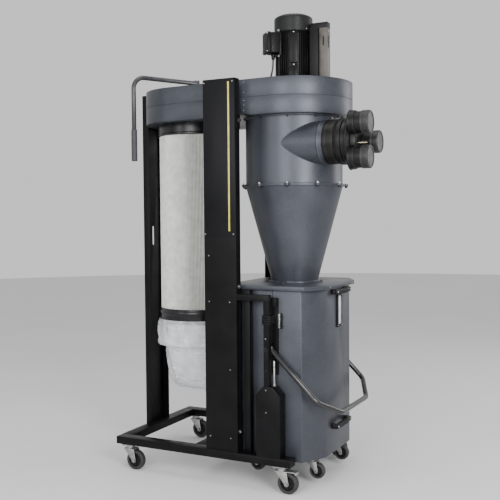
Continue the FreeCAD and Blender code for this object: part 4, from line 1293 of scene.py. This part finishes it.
def show_window():
    """A black moulded frame, screwed on, round a clear pane whose pale colour is a painted
    reflection of the glare on it.
    """
    low, high = span("bin_window")
    border = 9
    piece("window", machine_block(low, high, 1.8), "black_plastic", "bin_window", "bin")
    # The pane is flat pale colour: a painted reflection that stands for the glare on clear acrylic
    pane = machine_block((high.x - 1.5, low.y + border + 6, low.z + border + 5),
                         (high.x + 0.5, high.y - border, high.z - border - 5), 0.8)
    piece("window_pane", pane, "window_acrylic", body="bin")
    bars = [machine_block((high.x - 1, y0, z0), (high.x + 2.6, y1, z1), 1.2) for y0, y1, z0, z1 in (
        (low.y + 2, low.y + border + 4, low.z + 2, high.z - 2),
        (high.y - border + 1, high.y - 2, low.z + 2, high.z - 2),
        (low.y + 2, high.y - 2, low.z + 2, low.z + border + 3),
        (low.y + 2, high.y - 2, high.z - border - 3, high.z - 2))]
    piece("window_frame", joined(bars), "black_plastic", body="bin")
    screws = [(high.x + 2.4, y, z) for y in (low.y + 8, high.y - 6)
              for z in (low.z + 8, high.z - 8)]
    piece("window_screws", fastened(pan_screw, 6, screws, ALONG), "zinc_plate", body="bin")


def show_handles():
    """Two grab handles: a ribbed bar on two feet, each foot held by a screw."""
    low, high = span("bin_handles")
    tall, foot, rib, pitch = 24, 22, 6, 11.5
    shapes, screws = [], []
    for base in (low.z, high.z - tall):
        for y in (low.y, high.y - foot):
            shapes.append(machine_block((low.x, y, base),
                                        (high.x - 12, y + foot, base + tall), 3.5))
        shapes.append(machine_block((high.x - 15, low.y, base), (high.x, high.y, base + tall), 5))
        y = low.y + 40
        while y < high.y - 44:
            shapes.append(machine_block((high.x - 13, y, base - 0.6),
                                        (high.x + 0.8, y + rib, base + tall + 0.6), 1.5))
            y += pitch
        screws += [(high.x, y, base + tall / 2) for y in (low.y + foot / 2, high.y - foot / 2)]
    piece("handles", joined(shapes), "black_plastic", "bin_handles", "bin")
    piece("handle_screws", fastened(pan_screw, 9, screws, ALONG), "zinc_plate", body="bin")


show_bin()
show_window()
show_handles()


# ---------------------------------------------------------------- lift

GUIDE_LEFT, GUIDE_RIGHT = 842.0, 869.0
GUIDE_MID = (GUIDE_LEFT + GUIDE_RIGHT) / 2
GUIDE_FACE = 2.0
PEDESTAL_FACE = span("pedestals")[0].y
PEDESTAL_TOP = LID_LOW.z - 444
ARM_LOW = span("lift_frames")[1].z - 28
STRAP_FACE, STRAP_END = span("lift_straps")[0].y, span("lift_straps")[1].x
SHOE_LOW = LID_LOW.z - 155
LUG_LOW = LID_LOW.z - 179
PIVOT_Z = LID_LOW.z - 270


def show_lift_posts():
    """Folded pedestals, square guide tubes, their plugs and screws, and the plated stop rods."""
    softened("pedestals", COAT, 1.0)
    softened("lift_frames", COAT, 2.2)
    plugs = block_pair((GUIDE_RIGHT - 0.5, 3.5, ARM_LOW + 1.5),
                       (GUIDE_RIGHT + 1.6, 28.5, ARM_LOW + 26.5), 0.9)
    piece("guide_plugs", plugs, "black_plastic")
    rod, rods = [(0, 0), (5.4, 0), (5.4, 114), (4.4, 116.5), (0, 116.5)], []
    for spot in ((876, 43.5, PEDESTAL_TOP), *mirrored([(876, 43.5, PEDESTAL_TOP)])):
        rods += [placed(turned(rod, 24, False), at(*spot)), placed(hex_bolt(15), at(*spot))]
    piece("stop_rods", joined(rods), "zinc_plate")
    screws = [(GUIDE_MID - 3, GUIDE_FACE, LID_LOW.z - 221)]
    screws += [(GUIDE_MID - 2, PEDESTAL_FACE, PEDESTAL_TOP - drop) for drop in (16, 120)]
    front_and_rear("lift_screws", pan_screw, 8, screws, "zinc_plate")
    # Painted shade: flat black patches on the guide tubes stand for the shade inside their holes
    holes = block_pair((GUIDE_MID - 7, 1.85, LID_LOW.z - 374),
                       (GUIDE_MID + 3, 2.6, LID_LOW.z - 366), 0)
    piece("guide_holes", holes, "dark_recess")
    beads = [weld(line((GUIDE_LEFT, y, PEDESTAL_TOP), (GUIDE_RIGHT, y, PEDESTAL_TOP), 20), 1.6)
             for y in (GUIDE_FACE, 2 * MID_Y - GUIDE_FACE)]
    piece("lift_welds", joined(beads), COAT)


def show_straps():
    """Flat bars bolted to the bin's sides, each with a ribbed shoe round its guide post."""
    softened("lift_straps", COAT, 1.5, body="bin")
    ribs = [block_pair((GUIDE_LEFT - 8.5, -1.2, SHOE_LOW + z - 2.2),
                       (GUIDE_RIGHT + 8.5, 6, SHOE_LOW + z + 2.2), 1.6) for z in (4, 15, 26, 37)]
    piece("shoe_ribs", joined(ribs), "black_plastic", body="bin")
    plates = block_pair((STRAP_END - 20, STRAP_FACE + 60, LUG_LOW + 2),
                        (STRAP_END - 9, STRAP_FACE + 62.6, LUG_LOW + 70), 1.0)
    piece("lug_plates", plates, "zinc_plate", body="bin")
    bolts = [(STRAP_END - 5, 62, LUG_LOW + z) for z in (14, 56)]
    front_and_rear("lug_bolts", hex_bolt, 8, bolts, "blackened_bolt", "bin")
    washers = block_pair((STRAP_END - 19, 60.6, LUG_LOW + 4), (STRAP_END - 12, 62.4, LUG_LOW + 68),
                         0.7)
    piece("lug_washers", washers, "zinc_plate", body="bin")


def show_bail():
    """The bent tube lever, glossy where it is handled, and the bolts it turns on."""
    piece("bail", copied("lift_bail", flat=False), "lever_coat", "lift_bail", "lift_lever", 50)
    pivot = (GUIDE_MID, GUIDE_FACE, PIVOT_Z)
    heads = joined([fastened(hex_bolt, 14, [pivot], FRONT),
                    fastened(hex_bolt, 14, mirrored([pivot]), REAR)])
    piece("bail_bolts", heads, "blackened_bolt", body="lift_lever")


show_lift_posts()
show_straps()
show_bail()


# ---------------------------------------------------------------- casters

def both_faces(profile):
    """A wheel's outline from the profile of one of its faces."""
    return profile + [(radius, -face) for radius, face in reversed(profile)]


def show_wheel(prefix, number, radius, width, axle):
    """A tyre on a moulded core with a plain hub; both turn with the wheel."""
    node, body = f"{prefix}_caster_wheel_{number}", f"{prefix}_wheel_{number}"
    spot = at(*middle(node))
    half, hub = width / 2, width / 2 + 4.6
    tyre = both_faces([(0.7 * radius, 1 - half), (0.74 * radius, -half), (0.9 * radius, 0.4 - half),
                       (0.97 * radius, 2.6 - half), (radius, 7 - half)]) + [(0.7 * radius, 0)]
    piece(body + "_tyre", placed(turned(tyre, 64, ease=0.7), spot, REAR), "caster_tyre", node, body)
    core = both_faces([(axle + 0.2, -hub), (2 * axle - 0.8, -hub), (2 * axle, 0.8 - hub),
                       (2.1 * axle, 5 - half), (0.58 * radius, 6.5 - half),
                       (0.63 * radius, 1.5 - half), (0.705 * radius, 1 - half)])
    shapes = [turned(core, 64, ease=0.6)]
    for step in range(5):
        for face in (5 - half, half - 5):
            rib = block((2 * axle - 1, -1.8, face - 2.2), (0.62 * radius, 1.8, face + 2.2), 0.8)
            shapes.append(placed(rib, (0, 0, 0), UP, math.tau * step / 5))
    piece(body + "_core", placed(joined(shapes), spot, REAR), "black_plastic", body=body)


def show_fork(prefix, number, radius, width, trail, axle):
    """A pressed, plated fork: swivel race with its dust groove, axle bolt and nut, and the pedal
    that two of the base's have."""
    node, body = f"{prefix}_caster_fork_{number}", f"{prefix}_fork_{number}"
    softened(node, "zinc_plate", 1.1, body=body)
    wheel = middle(f"{prefix}_caster_wheel_{number}")
    top = span(node)[1].z
    inner = width / 2 + 5
    crown = wheel.z + radius + 8
    race = [(-6, crown - 1), (0.6, crown - 1), (2.2, crown + 1), (2.2, crown + 3.5),
            (0.4, crown + 5), (0.4, top - 4.5), (1.8, top - 3), (1.8, top - 0.4), (-6, top - 0.4)]
    stem = Vector((wheel.x - trail, wheel.y, 0))
    shapes = [around(stem, [(inner + out, z) for out, z in race], 48, ease=0.7)]
    for face, way in ((-1, FRONT), (1, REAR)):
        end = at(wheel.x, wheel.y + face * (inner + 3), wheel.z)
        shapes.append(placed(hex_bolt(2.1 * axle), end, way))
    if prefix == "base" and number in (2, 4):
        curve = rounded([(wheel.x + out, crown + rise) for out, rise in
                         ((8, 0.5), (34, 2), (47, -12), (44, -14), (32, -1.5), (8, -2.5))], 5)
        reach = inner - 3
        pedal = slab(curve, 2 * reach, 0.8)
        bmesh.ops.transform(pedal, matrix=Matrix.Rotation(math.radians(90), 4, "X"),
                            verts=pedal.verts)
        shapes.append(placed(pedal, at(0, wheel.y + reach, 0)))
    piece(body + "_fittings", joined(shapes), "zinc_plate", body=body)


def show_casters():
    """Two sets of four casters, with four hexagon bolts under each mounting plate."""
    for prefix, carrier, radius, width, trail, axle in (("base", "frame", 50.0, 32.0, 35.0, 6.0),
                                                        ("bin", "bin", 38.0, 28.0, 28.0, 5.0)):
        softened(f"{prefix}_caster_plates", "zinc_plate", 0.8, body=carrier)
        plate, spread = span(f"{prefix}_caster_plates")[0].z, width - 8
        bolts = []
        for number in (1, 2, 3, 4):
            show_wheel(prefix, number, radius, width, axle)
            show_fork(prefix, number, radius, width, trail, axle)
            wheel = middle(f"{prefix}_caster_wheel_{number}")
            bolts += [(wheel.x - trail + x, wheel.y + y, plate) for x in (-spread, spread)
                      for y in (-spread, spread)]
        piece(f"{prefix}_plate_bolts", fastened(hex_bolt, 7, bolts, -UP), "zinc_plate",
              body=carrier)


def show_bracket_bolts():
    """The bolt through the front duct bracket beside the post."""
    low, high = span("duct_brackets")
    spot = ((max(low.x, POST_RIGHT) + high.x) / 2, low.y, BAND_LOW.z - 34)
    piece("bracket_bolts", fastened(hex_bolt, 10, [spot], FRONT), "blackened_bolt")


show_casters()
show_bracket_bolts()


# ---------------------------------------------------------------- CAD nodes shown as they are

def plain_finishes():
    """Every CAD node takes its slot's finish, in case it shows."""
    for row in frame["record"]["subparts"]:
        node = frame["nodes"][row["node"]]
        node.data.materials.clear()
        node.data.materials.append(finishes[row["material_slot"]])


plain_finishes()
